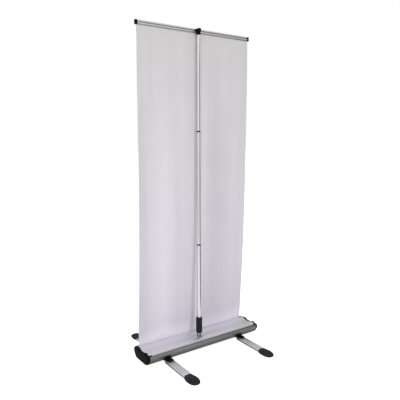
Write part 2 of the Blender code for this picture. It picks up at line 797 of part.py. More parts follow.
def makePoleFoot(materials):
    """Socket, spigot, flex spring and ribbed sleeve between the base and the pole."""
    socketLow = hullBottom + wall + seatGap
    socketHigh = valleyZ - wall - seatGap
    half = ribInner - seatGap
    socket = box("pole_socket", (-0.030, -half, socketLow), (0.030, half, socketHigh), materials["plastic"])
    shankLow = socketLow + 0.010
    bore = rod(spigotShank + seatGap, shankLow - seatGap, socketHigh + 0.002)
    cut(socket, turned("cut_socket", bore, (0.0, 0.0, 0.0), "Z", None, 24))
    studTop = spigotTop + spigotStud
    studRadius = spigotRadius - flexWire - 2 * runGap - 0.0004
    profile = [
        (0.0, studTop),
        (studRadius - 0.001, studTop),
        (studRadius, studTop - 0.001),
        (studRadius, spigotTop),
        (spigotRadius - 0.0005, spigotTop),
        (spigotRadius, spigotTop - 0.0005),
        (spigotRadius, saddleTop),
        (spigotShank, saddleTop),
        (spigotShank, shankLow),
        (0.0, shankLow),
    ]
    turned("pole_spigot", profile, (0.0, 0.0, 0.0), "Z", materials["polished"], 24)
    lipThickness = 0.004
    plugTop = sleeveTop - lipThickness - seatGap
    plugBottom = plugTop - tubePlugHead
    inner = spigotRadius + runGap
    outline = [(inner, sleeveBottom), (inner, sleeveTop - lipThickness)]
    outline += [(lowerTubeRadius + runGap, sleeveTop - lipThickness), (lowerTubeRadius + runGap, sleeveTop)]
    outer = inner + sleeveWall
    ribs = []
    count = sleeveRibs * 2
    for i in range(count + 1):
        z = sleeveTop - 0.001 + (sleeveBottom + 0.001 - sleeveTop + 0.001) * i / count
        ribs.append((outer - (sleeveRib if i % 2 else 0.0), z))
    outline += [(outer - 0.002, sleeveTop)] + ribs + [(outer - 0.002, sleeveBottom)]
    turned("flex_sleeve", outline, (0.0, 0.0, 0.0), "Z", materials["rubber"], 24)
    coil = spigotRadius - flexWire / 2
    start = spigotTop + seatGap
    helix("flex_spring", coil, flexWire, flexTurns, start, plugBottom - seatGap, materials["spring"])
    lowerInner = lowerTubeRadius - tubeWall
    profile = [
        (0.0, plugTop + tubePlugShank),
        (lowerInner - seatGap, plugTop + tubePlugShank),
        (lowerInner - seatGap, plugTop),
        (spigotRadius, plugTop),
        (spigotRadius, plugBottom),
        (studRadius, plugBottom),
        (studRadius, plugBottom - 0.014),
        (0.0, plugBottom - 0.014),
    ]
    turned("tube_plug", profile, (0.0, 0.0, 0.0), "Z", materials["steel"], 24)
    return plugTop + seatGap


def makePole(materials):
    tubeStart = makePoleFoot(materials)
    here = (0.0, 0.0, 0.0)
    metal = materials["metal"]
    lowerEnd = lowerJointZ - collarHeight / 2
    profile = ring(lowerTubeRadius, lowerTubeRadius - tubeWall, tubeStart, lowerEnd)
    turned("pole_lower", profile, here, "Z", metal, 24)
    profile = ring(
        lowerTubeRadius + collarProud,
        middleTubeRadius + runGap,
        lowerEnd + seatGap,
        lowerEnd + collarHeight,
    )
    turned("collar_lower", profile, here, "Z", materials["plastic"], 24)
    upperEnd = upperJointZ - collarHeight / 2
    start = lowerEnd - tubeOverlap
    profile = ring(middleTubeRadius, middleTubeRadius - tubeWall, start, upperEnd)
    turned("pole_middle", profile, here, "Z", metal, 24)
    profile = ring(
        middleTubeRadius + collarProud,
        upperTubeRadius + runGap,
        upperEnd + seatGap,
        upperEnd + collarHeight,
    )
    turned("collar_upper", profile, here, "Z", materials["plastic"], 24)
    tubeTop = connectorTopZ - connectorHeight
    start = upperEnd - tubeOverlap
    profile = ring(upperTubeRadius, upperTubeRadius - tubeWall, start, tubeTop)
    turned("pole_upper", profile, here, "Z", metal, 24)
    makeConnector(tubeTop, materials["plastic"])


def makeConnector(tubeTop, plastic):
    """Y-shaped top: a plug in the tube, a collar and two hooked prongs, one for each rail."""
    neckTop = tubeTop + seatGap + connectorNeck
    face = railOffset - railDepth / 2 - seatGap
    toothTop = railTopZ - hookGrooveDown + hookGrooveHeight / 2 - seatGap
    toothLow = toothTop - toothHeight
    half = [
        (connectorCollar - 0.002, neckTop - 0.006),
        (face, toothLow - 0.005),
        (face, toothLow),
        (face + toothDepth, toothLow),
        (face + toothDepth, toothTop),
        (face, toothTop),
        (face, connectorTopZ - 0.0020),
        (face - 0.0016, connectorTopZ),
        (prongGap / 2 + 0.0016, connectorTopZ),
        (prongGap / 2, connectorTopZ - 0.0020),
        (prongGap / 2, neckTop + 0.020),
    ]
    outline = half + [(0.0, neckTop + 0.016)] + [(-y, z) for y, z in reversed(half)]
    width = connectorWidth / 2
    head = prism("top_connector", outline, -width, width, "X", plastic)
    profile = [
        (0.0, neckTop),
        (connectorCollar, neckTop),
        (connectorCollar, tubeTop + seatGap),
        (upperTubeRadius - tubeWall - seatGap, tubeTop + seatGap),
        (upperTubeRadius - tubeWall - seatGap, tubeTop - connectorShank),
        (0.0, tubeTop - connectorShank),
    ]
    join(head, turned("join_connector_stem", profile, (0.0, 0.0, 0.0), "Z", None, 24))


def build():
    clearScene()
    silver = makeMaterial("satin_aluminium", (0.62, 0.63, 0.65), 0.34, 1.0)
    black = makeMaterial("black_moulding", (0.022, 0.022, 0.024), 0.45, 0.0)
    rubber = makeMaterial("black_rubber", (0.03, 0.03, 0.03), 0.7, 0.0)
    steel = makeMaterial("zinc_steel", (0.50, 0.51, 0.52), 0.32, 1.0)
    polished = makeMaterial("polished_steel", (0.70, 0.70, 0.71), 0.15, 1.0)
    spring = makeMaterial("spring_steel", (0.32, 0.33, 0.34), 0.35, 1.0)
    tube = makeMaterial("roller_tube_steel", (0.55, 0.56, 0.57), 0.4, 1.0)
    film = makeMaterial("banner_film", (0.72, 0.71, 0.75), 0.6, 0.0)
    materials = {
        "metal": silver,
        "plastic": black,
        "rubber": rubber,
        "steel": steel,
        "polished": polished,
        "spring": spring,
        "tube": tube,
        "film": film,
    }
    makeHull(silver)
    makeSaddle(silver)
    for end in (-1, 1):
        makeEndCap(end, black)
    for side in (-1, 1):
        makeRoller(side, materials)
        for end in (-1, 1):
            makeFoot(side, end, materials)
    makePole(materials)
    makeRail(1, railOffset, railMiddleZ, silver, black)
    makeRail(-1, -slotOffset, parkedMiddleZ, silver, black)
    makeBanner(film)
    makeLeads(film)


build()
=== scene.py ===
# Outdoor roll-up banner stand: finishes, hanging film, fine moulded pieces, studio and camera.
# Metres, Z up. The origin is on the floor under the pole; X runs along the base, -Y is the front.
import math

import bmesh
import bpy
import numpy as np
from mathutils import Matrix, Vector


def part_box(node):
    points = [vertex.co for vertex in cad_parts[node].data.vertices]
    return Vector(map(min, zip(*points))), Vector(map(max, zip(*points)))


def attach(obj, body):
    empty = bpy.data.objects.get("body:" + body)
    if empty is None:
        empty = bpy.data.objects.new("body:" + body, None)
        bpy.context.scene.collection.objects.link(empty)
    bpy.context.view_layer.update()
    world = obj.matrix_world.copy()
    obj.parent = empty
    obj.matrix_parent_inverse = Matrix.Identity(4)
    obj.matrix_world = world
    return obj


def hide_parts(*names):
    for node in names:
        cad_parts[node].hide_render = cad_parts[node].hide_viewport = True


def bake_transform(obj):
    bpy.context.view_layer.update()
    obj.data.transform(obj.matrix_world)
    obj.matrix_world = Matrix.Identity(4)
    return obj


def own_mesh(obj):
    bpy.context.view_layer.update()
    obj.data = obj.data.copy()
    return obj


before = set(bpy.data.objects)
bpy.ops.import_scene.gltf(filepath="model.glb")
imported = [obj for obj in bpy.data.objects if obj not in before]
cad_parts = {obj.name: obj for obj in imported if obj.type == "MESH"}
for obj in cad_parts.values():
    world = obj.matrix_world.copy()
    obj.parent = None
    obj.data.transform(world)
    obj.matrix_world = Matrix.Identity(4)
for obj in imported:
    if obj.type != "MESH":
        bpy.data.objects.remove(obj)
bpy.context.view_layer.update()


# Small helpers for meshes.

def smoothStep(t):
    # 3t^2 - 2t^3, with t held between 0 and 1
    t = np.clip(t, 0.0, 1.0)
    return t * t * (3.0 - 2.0 * t)


def throughKnots(where, knots, values):
    # cubic Hermite curve through (knots, values); each slope is the mean of the two chords beside it
    knots, values = np.asarray(knots, float), np.asarray(values, float)
    slopes = np.gradient(values, knots)
    seat = np.clip(np.searchsorted(knots, where) - 1, 0, len(knots) - 2)
    step = knots[seat + 1] - knots[seat]
    t = np.clip((where - knots[seat]) / step, 0.0, 1.0)
    rise = t * t * (3.0 - 2.0 * t)
    return (values[seat] * (1.0 - rise) + values[seat + 1] * rise
            + step * slopes[seat] * t * (1.0 - t) ** 2 - step * slopes[seat + 1] * t * t * (1.0 - t))


def quarterTurn(steps):
    # angles from 0 to 90 degrees
    return math.pi / 2 * np.linspace(0.0, 1.0, steps)


def quarterRound(radius, steps):
    # how far a rounded corner stands in from its two sides: r (1 - cos a) and r (1 - sin a)
    turn = quarterTurn(steps)
    return radius * (1 - np.cos(turn)), radius * (1 - np.sin(turn))


def softCorners(points, reach, steps):
    # each corner P of a closed outline becomes a quadratic arc from P + a to P + b,
    # where a and b point to the neighbours and are as long as that corner's reach
    points = np.asarray(points, float)
    reach = np.broadcast_to(np.asarray(reach, float), len(points))[:, None]
    before, after = np.roll(points, 1, axis=0) - points, np.roll(points, -1, axis=0) - points
    before *= reach / np.linalg.norm(before, axis=1, keepdims=True)
    after *= reach / np.linalg.norm(after, axis=1, keepdims=True)
    t = np.linspace(0.0, 1.0, steps)[None, :, None]
    arcs = points[:, None] + before[:, None] * (1 - t) ** 2 + after[:, None] * t ** 2
    return arcs.reshape(-1, points.shape[1])


def gridFaces(rows, columns, closeRows=False, closeColumns=False, first=0):
    # quads between neighbouring grid points; point (i, j) has the number i * columns + j
    i = np.arange(rows if closeRows else rows - 1)[:, None]
    j = np.arange(columns if closeColumns else columns - 1)[None, :]
    i2, j2 = (i + 1) % rows, (j + 1) % columns
    return np.stack([i * columns + j, i2 * columns + j, i2 * columns + j2, i * columns + j2],
                    axis=-1).reshape(-1, 4) + first


def placed(name, mesh, material):
    # an object for the mesh, linked to the scene, with its material
    piece = bpy.data.objects.new(name, mesh)
    bpy.context.collection.objects.link(piece)
    if material:
        mesh.materials.append(material)
    return piece


def makePiece(name, points, faces, material, smooth=True, uv=None):
    # quads into a mesh by whole arrays, with an optional map of one (u, v) for each point
    mesh = bpy.data.meshes.new(name)
    mesh.vertices.add(len(points))
    mesh.vertices.foreach_set("co", np.asarray(points, np.float32).ravel())
    mesh.loops.add(faces.size)
    mesh.loops.foreach_set("vertex_index", faces.astype(np.int32).ravel())
    mesh.polygons.add(len(faces))
    mesh.polygons.foreach_set("loop_start", np.arange(0, faces.size, 4, dtype=np.int32))
    mesh.update(calc_edges=True)
    if uv is not None:
        layer = mesh.uv_layers.new(name="filmMap")
        layer.data.foreach_set("uv", np.asarray(uv, np.float32)[faces.ravel()].ravel())
    if smooth:
        mesh.shade_smooth()
    return placed(name, mesh, material)


# crisp: from how many degrees between two faces an edge stays sharp
crisp = {"usual": 40.0, "profile": 28.0, "moulding": 32.0, "tip": 38.0, "assembled": 35.0, "sheet": 50.0}


def closeUp(piece, sharpAngle=crisp["usual"], merge=True):
    # merges seams and poles where there are any, turns every face outwards and keeps real edges crisp
    work = bmesh.new()
    work.from_mesh(piece.data)
    if merge:
        bmesh.ops.remove_doubles(work, verts=work.verts, dist=2e-6)
        bmesh.ops.dissolve_degenerate(work, edges=work.edges, dist=1e-7)
    bmesh.ops.recalc_face_normals(work, faces=work.faces)
    work.to_mesh(piece.data)
    work.free()
    piece.data.shade_smooth()
    piece.data.set_sharp_from_angle(angle=math.radians(sharpAngle))
    return piece


# drum: section of a turned cutter, radius and height from its axis and back
drum = ((0.0, -1.0), (1.0, -1.0), (1.0, 1.0), (0.0, 1.0))


def turnedPiece(name, profile, centre, material, axis="Z", segments=64, loop=True,
                sharpAngle=crisp["usual"]):
    # point = centre + radius(t) * (cos a, sin a) across the axis + height(t) along it
    profile = np.asarray(profile, float)
    angle = np.linspace(0.0, math.tau, segments, endpoint=False)[:, None]
    across, beside = profile[:, 0] * np.cos(angle), profile[:, 0] * np.sin(angle)
    along = np.broadcast_to(profile[:, 1], across.shape)
    order = {"Z": (across, beside, along), "X": (along, across, beside), "Y": (beside, along, across)}[axis]
    points = np.stack(order, axis=-1).reshape(-1, 3) + np.asarray(centre, float)
    faces = gridFaces(segments, len(profile), True, loop)
    return closeUp(makePiece(name, points, faces, material), sharpAngle)


def sheetPiece(name, grid, thickness, material, uv):
    # both faces of a film: grid point plus and minus half the thickness along the grid's own normal,
    # joined around the four edges
    rows, columns = grid.shape[:2]
    normal = np.cross(np.gradient(grid, axis=1), np.gradient(grid, axis=0))
    normal /= np.linalg.norm(normal, axis=-1, keepdims=True)
    points = np.concatenate([(grid + normal * thickness / 2).reshape(-1, 3),
                             (grid - normal * thickness / 2).reshape(-1, 3)])
    front = gridFaces(rows, columns)
    back = gridFaces(rows, columns, first=rows * columns)[:, ::-1]
    i, j = np.arange(rows), np.arange(columns)
    rim = np.concatenate([j, i[1:] * columns + columns - 1, (rows - 1) * columns + j[-2::-1],
                          i[-2:0:-1] * columns])
    after, deep = np.roll(rim, -1), rows * columns
    edge = np.stack([rim, after, after + deep, rim + deep], axis=-1)
    piece = makePiece(name, points, np.concatenate([front, back, edge]), material,
                      uv=np.concatenate([uv.reshape(-1, 2)] * 2))
    return closeUp(piece, crisp["sheet"], merge=False)


def meshPiece(name, points, faces, material):
    # points and faces of any number of corners into a mesh
    mesh = bpy.data.meshes.new(name)
    mesh.from_pydata(np.asarray(points, float).tolist(), [], faces)
    return placed(name, mesh, material)


def loftPiece(name, rings, material, sharpAngle=crisp["usual"]):
    # ring i is joined to ring i + 1 all the way round, and the first and last rings are closed flat
    rings = np.asarray(rings, float)
    rows, columns = rings.shape[:2]
    ends = np.arange(columns)
    faces = gridFaces(rows, columns, False, True).tolist()
    faces += [ends[::-1].tolist(), (ends + (rows - 1) * columns).tolist()]
    return closeUp(meshPiece(name, rings.reshape(-1, 3), faces, material), sharpAngle)


def ringsAlongX(places, outlines):
    # ring i = (places[i], y, z), with one (y, z) outline for all the places or one for each
    outlines = np.broadcast_to(outlines, (len(places), *np.shape(outlines)[-2:]))
    along = np.broadcast_to(np.asarray(places, float)[:, None, None], (*outlines.shape[:2], 1))
    return np.concatenate([along, outlines], axis=-1)


def extrudedPiece(name, outline, start, end, material, sharpAngle=crisp["usual"]):
    # the closed (y, z) outline carried straight along X
    return loftPiece(name, ringsAlongX((start, end), outline), material, sharpAngle)


def blockPiece(low, high):
    # a cutting block between two corners
    low, high = np.minimum(low, high), np.maximum(low, high)
    corner = np.array([(0, 0), (1, 0), (1, 1), (0, 1)], float)
    rings = np.empty((2, 4, 3))
    rings[:, :, :2] = low[:2] + (high - low)[:2] * corner
    rings[:, :, 2] = np.array([low[2], high[2]])[:, None]
    return loftPiece("cutter", rings, None)


def applied(piece, sharpAngle=crisp["usual"]):
    # the piece's modifiers are taken into its mesh
    view = bpy.context.evaluated_depsgraph_get()
    old, piece.data = piece.data, bpy.data.meshes.new_from_object(piece.evaluated_get(view))
    piece.modifiers.clear()
    piece.data.name = piece.name
    bpy.data.meshes.remove(old)
    return closeUp(piece, sharpAngle)


def carve(piece, *cutters):
    # each cutter's space is taken out of the piece
    for cutter in cutters:
        cut = piece.modifiers.new("carve", "BOOLEAN")
        cut.operation, cut.solver, cut.object = "DIFFERENCE", "EXACT", cutter
        applied(piece)
        bpy.data.objects.remove(cutter)
    return piece


def bevelled(piece, width, segments, limit):
    # real edges get a small round
    rounding = piece.modifiers.new("bevel", "BEVEL")
    rounding.width, rounding.segments, rounding.limit_method = width, segments, "ANGLE"
    rounding.angle_limit = math.radians(limit)
    return applied(piece, crisp["assembled"])


def joined(name, parts):
    # several meshes of one material as one piece
    work = bmesh.new()
    for part in parts:
        work.from_mesh(part.data)
    mesh = bpy.data.meshes.new(name)
    work.to_mesh(mesh)
    work.free()
    piece = placed(name, mesh, parts[0].data.materials[0])
    for part in parts:
        bpy.data.objects.remove(part)
    return closeUp(piece, crisp["assembled"])


def settle(piece, body, slot, *nodes):
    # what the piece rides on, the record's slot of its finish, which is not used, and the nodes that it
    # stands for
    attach(piece, body)
    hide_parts(*nodes)
    return piece


# Camera, studio and floor.

camera = {"focalPixels": 449.72, "imagePixels": 400, "sensorWidth": 36.0, "clip": (0.05, 60.0),
          "turnDegrees": 34.551, "dipDegrees": 7.827, "rollDegrees": 0.128,
          "place": (-1.6748, -2.4467, 1.4286)}


def setCamera():
    # turned about the vertical, dipped below the horizon, rolled about the view;
    # focal length = pixels / picture width * sensor width
    turn, dip, roll = (math.radians(camera[key]) for key in ("turnDegrees", "dipDegrees", "rollDegrees"))
    ahead = Vector((math.sin(turn) * math.cos(dip), math.cos(turn) * math.cos(dip), -math.sin(dip)))
    level = Vector((math.cos(turn), -math.sin(turn), 0.0))
    down = ahead.cross(level)
    right = math.cos(roll) * level + math.sin(roll) * down
    up = math.sin(roll) * level - math.cos(roll) * down
    lens = bpy.data.cameras.new("photoCamera")
    lens.sensor_fit, lens.sensor_width = "HORIZONTAL", camera["sensorWidth"]
    lens.lens = camera["focalPixels"] / camera["imagePixels"] * lens.sensor_width
    lens.clip_start, lens.clip_end = camera["clip"]
    eye = bpy.data.objects.new("photoCamera", lens)
    eye.matrix_world = Matrix([*zip(right, up, -ahead, camera["place"]), (0.0, 0.0, 0.0, 1.0)])
    bpy.context.collection.objects.link(eye)
    bpy.context.scene.camera = eye


studio = {"worldLight": 0.57, "floorColour": 0.94, "floorGlow": 0.78, "floorMirrorGlow": 0.32,
          "floorReach": 40.0,
          # name, place, aim, size, power and spread in degrees
          "lamps": (("keyLamp", (0.15, -3.7, 3.1), (0.0, 0.0, 0.55), 1.1, 9.2, 78.0),
                    ("fillLamp", (-2.4, -2.4, 1.3), (0.0, 0.0, 1.1), 1.4, 14.0, 180.0),
                    ("backLamp", (0.8, 3.6, 3.0), (0.0, 0.0, 0.55), 1.6, 8.0, 180.0)),
          # the dark card rises away from the stand, between two directions seen from the pole,
          # and its shade runs out where y / x reaches cardFade
          "cardNear": (0.65, 0.002), "cardFar": (3.0, 2.7), "cardTurn": (-62.0, 8.0),
          "cardShade": (0.62, 0.0), "cardFade": -0.55,
          # a grey card behind on the right gives the base's level faces something to show past the film
          "backTurn": (10.0, 86.0), "backReach": 2.6, "backLow": 0.002, "backTop": 6.0, "backShade": 0.50,
          "backSteps": 17}
white = (1, 1, 1, 1)


def addNode(tree, kind, inputs=None, **settings):
    # a node with its settings; an input is a number, a colour or another node's output
    made = tree.nodes.new(kind)
    for key, value in settings.items():
        setattr(made, key, value)
    for key, value in (inputs or {}).items():
        if isinstance(value, bpy.types.NodeSocket):
            tree.links.new(value, made.inputs[key])
        else:
            made.inputs[key].default_value = value
    return made


def mathOf(tree, operation, *values, clamp=False):
    # the outcome of one Math node
    return addNode(tree, "ShaderNodeMath", dict(enumerate(values)), operation=operation,
                   use_clamp=clamp).outputs[0]


def remapped(tree, value, fromLow, fromHigh, low=0.0, high=1.0, **settings):
    # carries fromLow..fromHigh over to low..high and holds it there
    return addNode(tree, "ShaderNodeMapRange", {"Value": value, "From Min": fromLow, "From Max": fromHigh,
                                                "To Min": low, "To Max": high}, **settings).outputs[0]


def noiseAt(tree, where, scale, detail, roughness=0.5):
    # one noise value from 0 to 1 for each place
    return addNode(tree, "ShaderNodeTexNoise", {"Vector": where, "Scale": scale, "Detail": detail,
                                                "Roughness": roughness}).outputs[0]


def stretched(tree, where, factors):
    # each coordinate times its own factor
    return addNode(tree, "ShaderNodeVectorMath", {0: where, 1: factors}, operation="MULTIPLY").outputs[0]


def partOf(tree, vector, axis):
    # a vector's part along X, Y or Z
    return addNode(tree, "ShaderNodeSeparateXYZ", {0: vector}).outputs[axis]


def objectPlace(tree):
    # metres in the piece's own frame
    return addNode(tree, "ShaderNodeTexCoord").outputs["Object"]


def startMaterial(name, keepShader=False):
    # a new material and its tree, emptied unless its first shader is kept
    material = bpy.data.materials.new(name)
    material.use_nodes = True
    if not keepShader:
        material.node_tree.nodes.clear()
    return material, material.node_tree


def setWorld():
    # the world is white for rays that show the background: from the camera, or by way of metal or glass
    world = bpy.data.worlds.new("studioWorld")
    bpy.context.scene.world = world
    world.use_nodes = True
    tree = world.node_tree
    tree.nodes.clear()
    path = addNode(tree, "ShaderNodeLightPath").outputs
    either = mathOf(tree, "MAXIMUM", path["Is Camera Ray"], path["Is Glossy Ray"])
    shown = mathOf(tree, "MAXIMUM", either, path["Is Transmission Ray"])
    strength = remapped(tree, shown, 0.0, 1.0, studio["worldLight"], 1.0)
    light = addNode(tree, "ShaderNodeBackground", {"Color": white, "Strength": strength})
    addNode(tree, "ShaderNodeOutputWorld", {"Surface": light.outputs[0]})


def addLamp(name, place, aim, size, power, spreadDegrees):
    # a round soft lamp; metal shows the white studio and not the lamp itself
    lamp = bpy.data.lights.new(name, "AREA")
    lamp.shape, lamp.size, lamp.energy, lamp.spread = "DISK", size, power, math.radians(spreadDegrees)
    made = bpy.data.objects.new(name, lamp)
    made.location = place
    made.rotation_euler = (Vector(aim) - Vector(place)).to_track_quat("-Z", "Y").to_euler()
    made.visible_glossy = False
    bpy.context.collection.objects.link(made)


def makeFloor():
    # a wide level square; its glow only lifts what is seen to white, so shadows stay on it
    material, tree = startMaterial("floorPaper")
    matt = addNode(tree, "ShaderNodeBsdfDiffuse", {"Color": (*[studio["floorColour"]] * 3, 1)})
    path = addNode(tree, "ShaderNodeLightPath").outputs
    mirrored = mathOf(tree, "MULTIPLY", path["Is Glossy Ray"], studio["floorMirrorGlow"])
    shown = mathOf(tree, "MULTIPLY_ADD", path["Is Camera Ray"], studio["floorGlow"], mirrored)
    glow = addNode(tree, "ShaderNodeEmission", {"Color": white, "Strength": shown})
    both = addNode(tree, "ShaderNodeAddShader", {0: matt.outputs[0], 1: glow.outputs[0]})
    addNode(tree, "ShaderNodeOutputMaterial", {"Surface": both.outputs[0]})
    corners = studio["floorReach"] * np.array([(-1, -1, 0), (1, -1, 0), (1, 1, 0), (-1, 1, 0)], float)
    makePiece("studioFloor", corners, np.array([[0, 1, 2, 3]]), material, smooth=False)


def addCard(name, points, faces, material, strength):
    # a glowing card that only reflections show
    tree = material.node_tree
    glow = addNode(tree, "ShaderNodeEmission", {"Color": white, "Strength": strength})
    addNode(tree, "ShaderNodeOutputMaterial", {"Surface": glow.outputs[0]})
    card = makePiece(name, points, faces, material, smooth=False)
    card.visible_camera = card.visible_diffuse = card.visible_shadow = card.visible_transmission = False


def makeCards():
    # the dark one, far to the right, draws the dark line along the tubes' right edge
    material, tree = startMaterial("darkCard")
    front, back = (math.tan(math.radians(turn)) for turn in studio["cardTurn"])
    where = objectPlace(tree)
    slope = mathOf(tree, "DIVIDE", partOf(tree, where, 1), partOf(tree, where, 0))
    shade = remapped(tree, slope, front, studio["cardFade"], *studio["cardShade"])
    (near, low), (far, high) = studio["cardNear"], studio["cardFar"]
    corners = np.array([(near, near * front, low), (near, near * back, low), (far, far * back, high),
                        (far, far * front, high)], float)
    addCard("sideCard", corners, np.array([[0, 1, 2, 3]]), material, shade)
    # the grey one is a curved wall: point = (r cos a, r sin a, z)
    material, tree = startMaterial("greyCard")
    angle = np.radians(np.linspace(*studio["backTurn"], studio["backSteps"]))[None, :]
    z = np.array([studio["backLow"], studio["backTop"]])[:, None]
    reach, faces = studio["backReach"], gridFaces(2, studio["backSteps"])
    points = np.stack(np.broadcast_arrays(reach * np.cos(angle), reach * np.sin(angle), z), axis=-1)
    addCard("backCard", points.reshape(-1, 3), faces, material, studio["backShade"])


setCamera()
setWorld()
for lampValues in studio["lamps"]:
    addLamp(*lampValues)
makeFloor()
makeCards()
bpy.context.scene.view_settings.view_transform = "Standard"
print("camera and studio are set")


# Effects that several finishes share.

def startGroup(name, inputs, outputs):
    # an empty shader group: inputs are (label, socket kind, value), outputs are numbers
    group = bpy.data.node_groups.new(name, "ShaderNodeTree")
    for label, kind, value in inputs:
        socket = group.interface.new_socket(label, in_out="INPUT", socket_type="NodeSocket" + kind)
        socket.default_value = value
    for label in outputs:
        group.interface.new_socket(label, in_out="OUTPUT", socket_type="NodeSocketFloat")
    return group, addNode(group, "NodeGroupInput").outputs


def endGroup(group, **outputs):
    # closes the group with a value for each of its outputs
    addNode(group, "NodeGroupOutput", outputs)
    return group


# masks: where each measure starts to count and where it counts in full, the drift noise's scale, detail and
# roughness, and how much the runs and the film's streaks are stretched along each axis
masks = {"edge": (0.995, 0.86), "patch": (0.40, 0.68), "upward": (0.2, 0.95), "drift": (0.38, 0.72),
         "driftNoise": (14.0, 6.0, 0.65), "runs": (55.0, 55.0, 9.0), "runDepth": (0.25, 0.75, 0.75, 1.0),
         "filmStreak": (24.0, 0.8, 1.0), "sky": (0.85, 0.45), "useful": (0.25, 0.75)}


def makeDrawnLines():
    # streaks along one direction, as a die or a polishing belt leaves them: noise on stretched places
    group, given = startGroup("drawnLines", [("Stretch", "Vector", (2.0, 700.0, 700.0)),
                                             ("Broad", "Float", 0.12)], ["Line", "Band"])
    fine = stretched(group, objectPlace(group), given["Stretch"])
    wide = addNode(group, "ShaderNodeVectorMath", {0: fine, "Scale": given["Broad"]},
                   operation="SCALE").outputs[0]
    return endGroup(group, Line=noiseAt(group, fine, 1.0, 3.0, 0.6), Band=noiseAt(group, wide, 1.0, 2.0))


def makeEdgeWear():
    # mask of rubbed edges: where a rounded normal leaves the true one, broken up by noise
    group, given = startGroup("edgeWear", [("Width", "Float", 0.0012), ("Patch", "Float", 45.0),
                                           ("Amount", "Float", 1.0)], ["Worn"])
    rounded = addNode(group, "ShaderNodeBevel", {"Radius": given["Width"]}, samples=4).outputs[0]
    straight = addNode(group, "ShaderNodeNewGeometry").outputs["Normal"]
    same = addNode(group, "ShaderNodeVectorMath", {0: rounded, 1: straight},
                   operation="DOT_PRODUCT").outputs["Value"]
    patch = noiseAt(group, objectPlace(group), given["Patch"], 5.0)
    mask = mathOf(group, "MULTIPLY", remapped(group, same, *masks["edge"]),
                  remapped(group, patch, *masks["patch"]))
    return endGroup(group, Worn=mathOf(group, "MULTIPLY", mask, given["Amount"], clamp=True))


def makeMouldGrain():
    # spark-eroded mould texture: small cells softened by noise, and slow changes of shade
    group, given = startGroup("mouldGrain", [("Size", "Float", 900.0), ("Slow", "Float", 22.0)],
                              ["Grain", "Shade"])
    where = objectPlace(group)
    cells = addNode(group, "ShaderNodeTexVoronoi", {"Vector": where, "Scale": given["Size"]},
                    feature="SMOOTH_F1")
    grain = mathOf(group, "MULTIPLY", cells.outputs["Distance"], noiseAt(group, where, given["Size"], 2.0))
    return endGroup(group, Grain=grain, Shade=noiseAt(group, where, given["Slow"], 4.0))


def makeDust():
    # outdoor dust: upward faces, thicker near the floor, in drifts
    group, given = startGroup("outdoorDust", [("Amount", "Float", 0.3), ("Reach", "Float", 0.10)], ["Dust"])
    where = objectPlace(group)
    up = partOf(group, addNode(group, "ShaderNodeNewGeometry").outputs["Normal"], 2)
    low = remapped(group, partOf(group, where, 2), 0.0, given["Reach"], 1.0, 0.0)
    drift = remapped(group, noiseAt(group, where, *masks["driftNoise"]), *masks["drift"])
    settled = mathOf(group, "MULTIPLY", remapped(group, up, *masks["upward"]), drift)
    mask = mathOf(group, "MULTIPLY", settled, low)
    return endGroup(group, Dust=mathOf(group, "MULTIPLY", mask, given["Amount"], clamp=True))


def makeGrime():
    # painted shade: darker towards the underside, run into upright streaks
    group, given = startGroup("roadGrime", [("Top", "Float", 0.086), ("Bottom", "Float", 0.020),
                                            ("Amount", "Float", 0.5)], ["Grime"])
    where = objectPlace(group)
    low = remapped(group, partOf(group, where, 2), given["Top"], given["Bottom"],
                   interpolation_type="SMOOTHSTEP")
    streak = noiseAt(group, stretched(group, where, masks["runs"]), 1.0, 5.0)
    mask = mathOf(group, "MULTIPLY", low, remapped(group, streak, *masks["runDepth"]))
    return endGroup(group, Grime=mathOf(group, "MULTIPLY", mask, given["Amount"], clamp=True))


def makeFilmWeave():
    # woven carrier under the film's coat: two crossed sets of threads on the film's own map, in metres
    group, given = startGroup("filmWeave", [("Width", "Float", 0.85), ("Length", "Float", 2.03),
                                            ("Threads", "Float", 900.0)], ["Thread", "Cloud", "Streak", "Up"])
    where = addNode(group, "ShaderNodeUVMap", uv_map="filmMap").outputs[0]
    size = addNode(group, "ShaderNodeCombineXYZ", {0: given["Width"], 1: given["Length"], 2: 0.0}).outputs[0]
    metres = stretched(group, where, size)
    wave = {"Vector": metres, "Scale": given["Threads"], "Distortion": 0.6}
    warp, weft = (addNode(group, "ShaderNodeTexWave", wave, bands_direction=way).outputs[1] for way in "XY")
    streak = noiseAt(group, stretched(group, metres, masks["filmStreak"]), 1.0, 2.0)
    return endGroup(group, Thread=mathOf(group, "MULTIPLY", warp, weft),
                    Cloud=noiseAt(group, metres, 5.0, 4.0), Streak=streak, Up=partOf(group, where, 1))


def makeCavity():
    # mask of painted shade in grooves and corners, where little of the sky is seen from there
    group, given = startGroup("paintedGrooveShade", [("Reach", "Float", 0.008), ("Amount", "Float", 1.0)], ["Cavity"])
    sky = addNode(group, "ShaderNodeAmbientOcclusion", {"Distance": given["Reach"]}, samples=8,
                  only_local=False)
    deep = remapped(group, sky.outputs["AO"], *masks["sky"])
    return endGroup(group, Cavity=mathOf(group, "MULTIPLY", deep, given["Amount"], clamp=True))


drawnLines, edgeWear, mouldGrain = makeDrawnLines(), makeEdgeWear(), makeMouldGrain()
outdoorDust, roadGrime, filmWeave, paintedGrooveShade = makeDust(), makeGrime(), makeFilmWeave(), makeCavity()


def useGroup(tree, group, **values):
    # one of the groups above, with values for some of its inputs
    made = addNode(tree, "ShaderNodeGroup", node_tree=group)
    for key, value in values.items():
        made.inputs[key].default_value = value
    return made.outputs


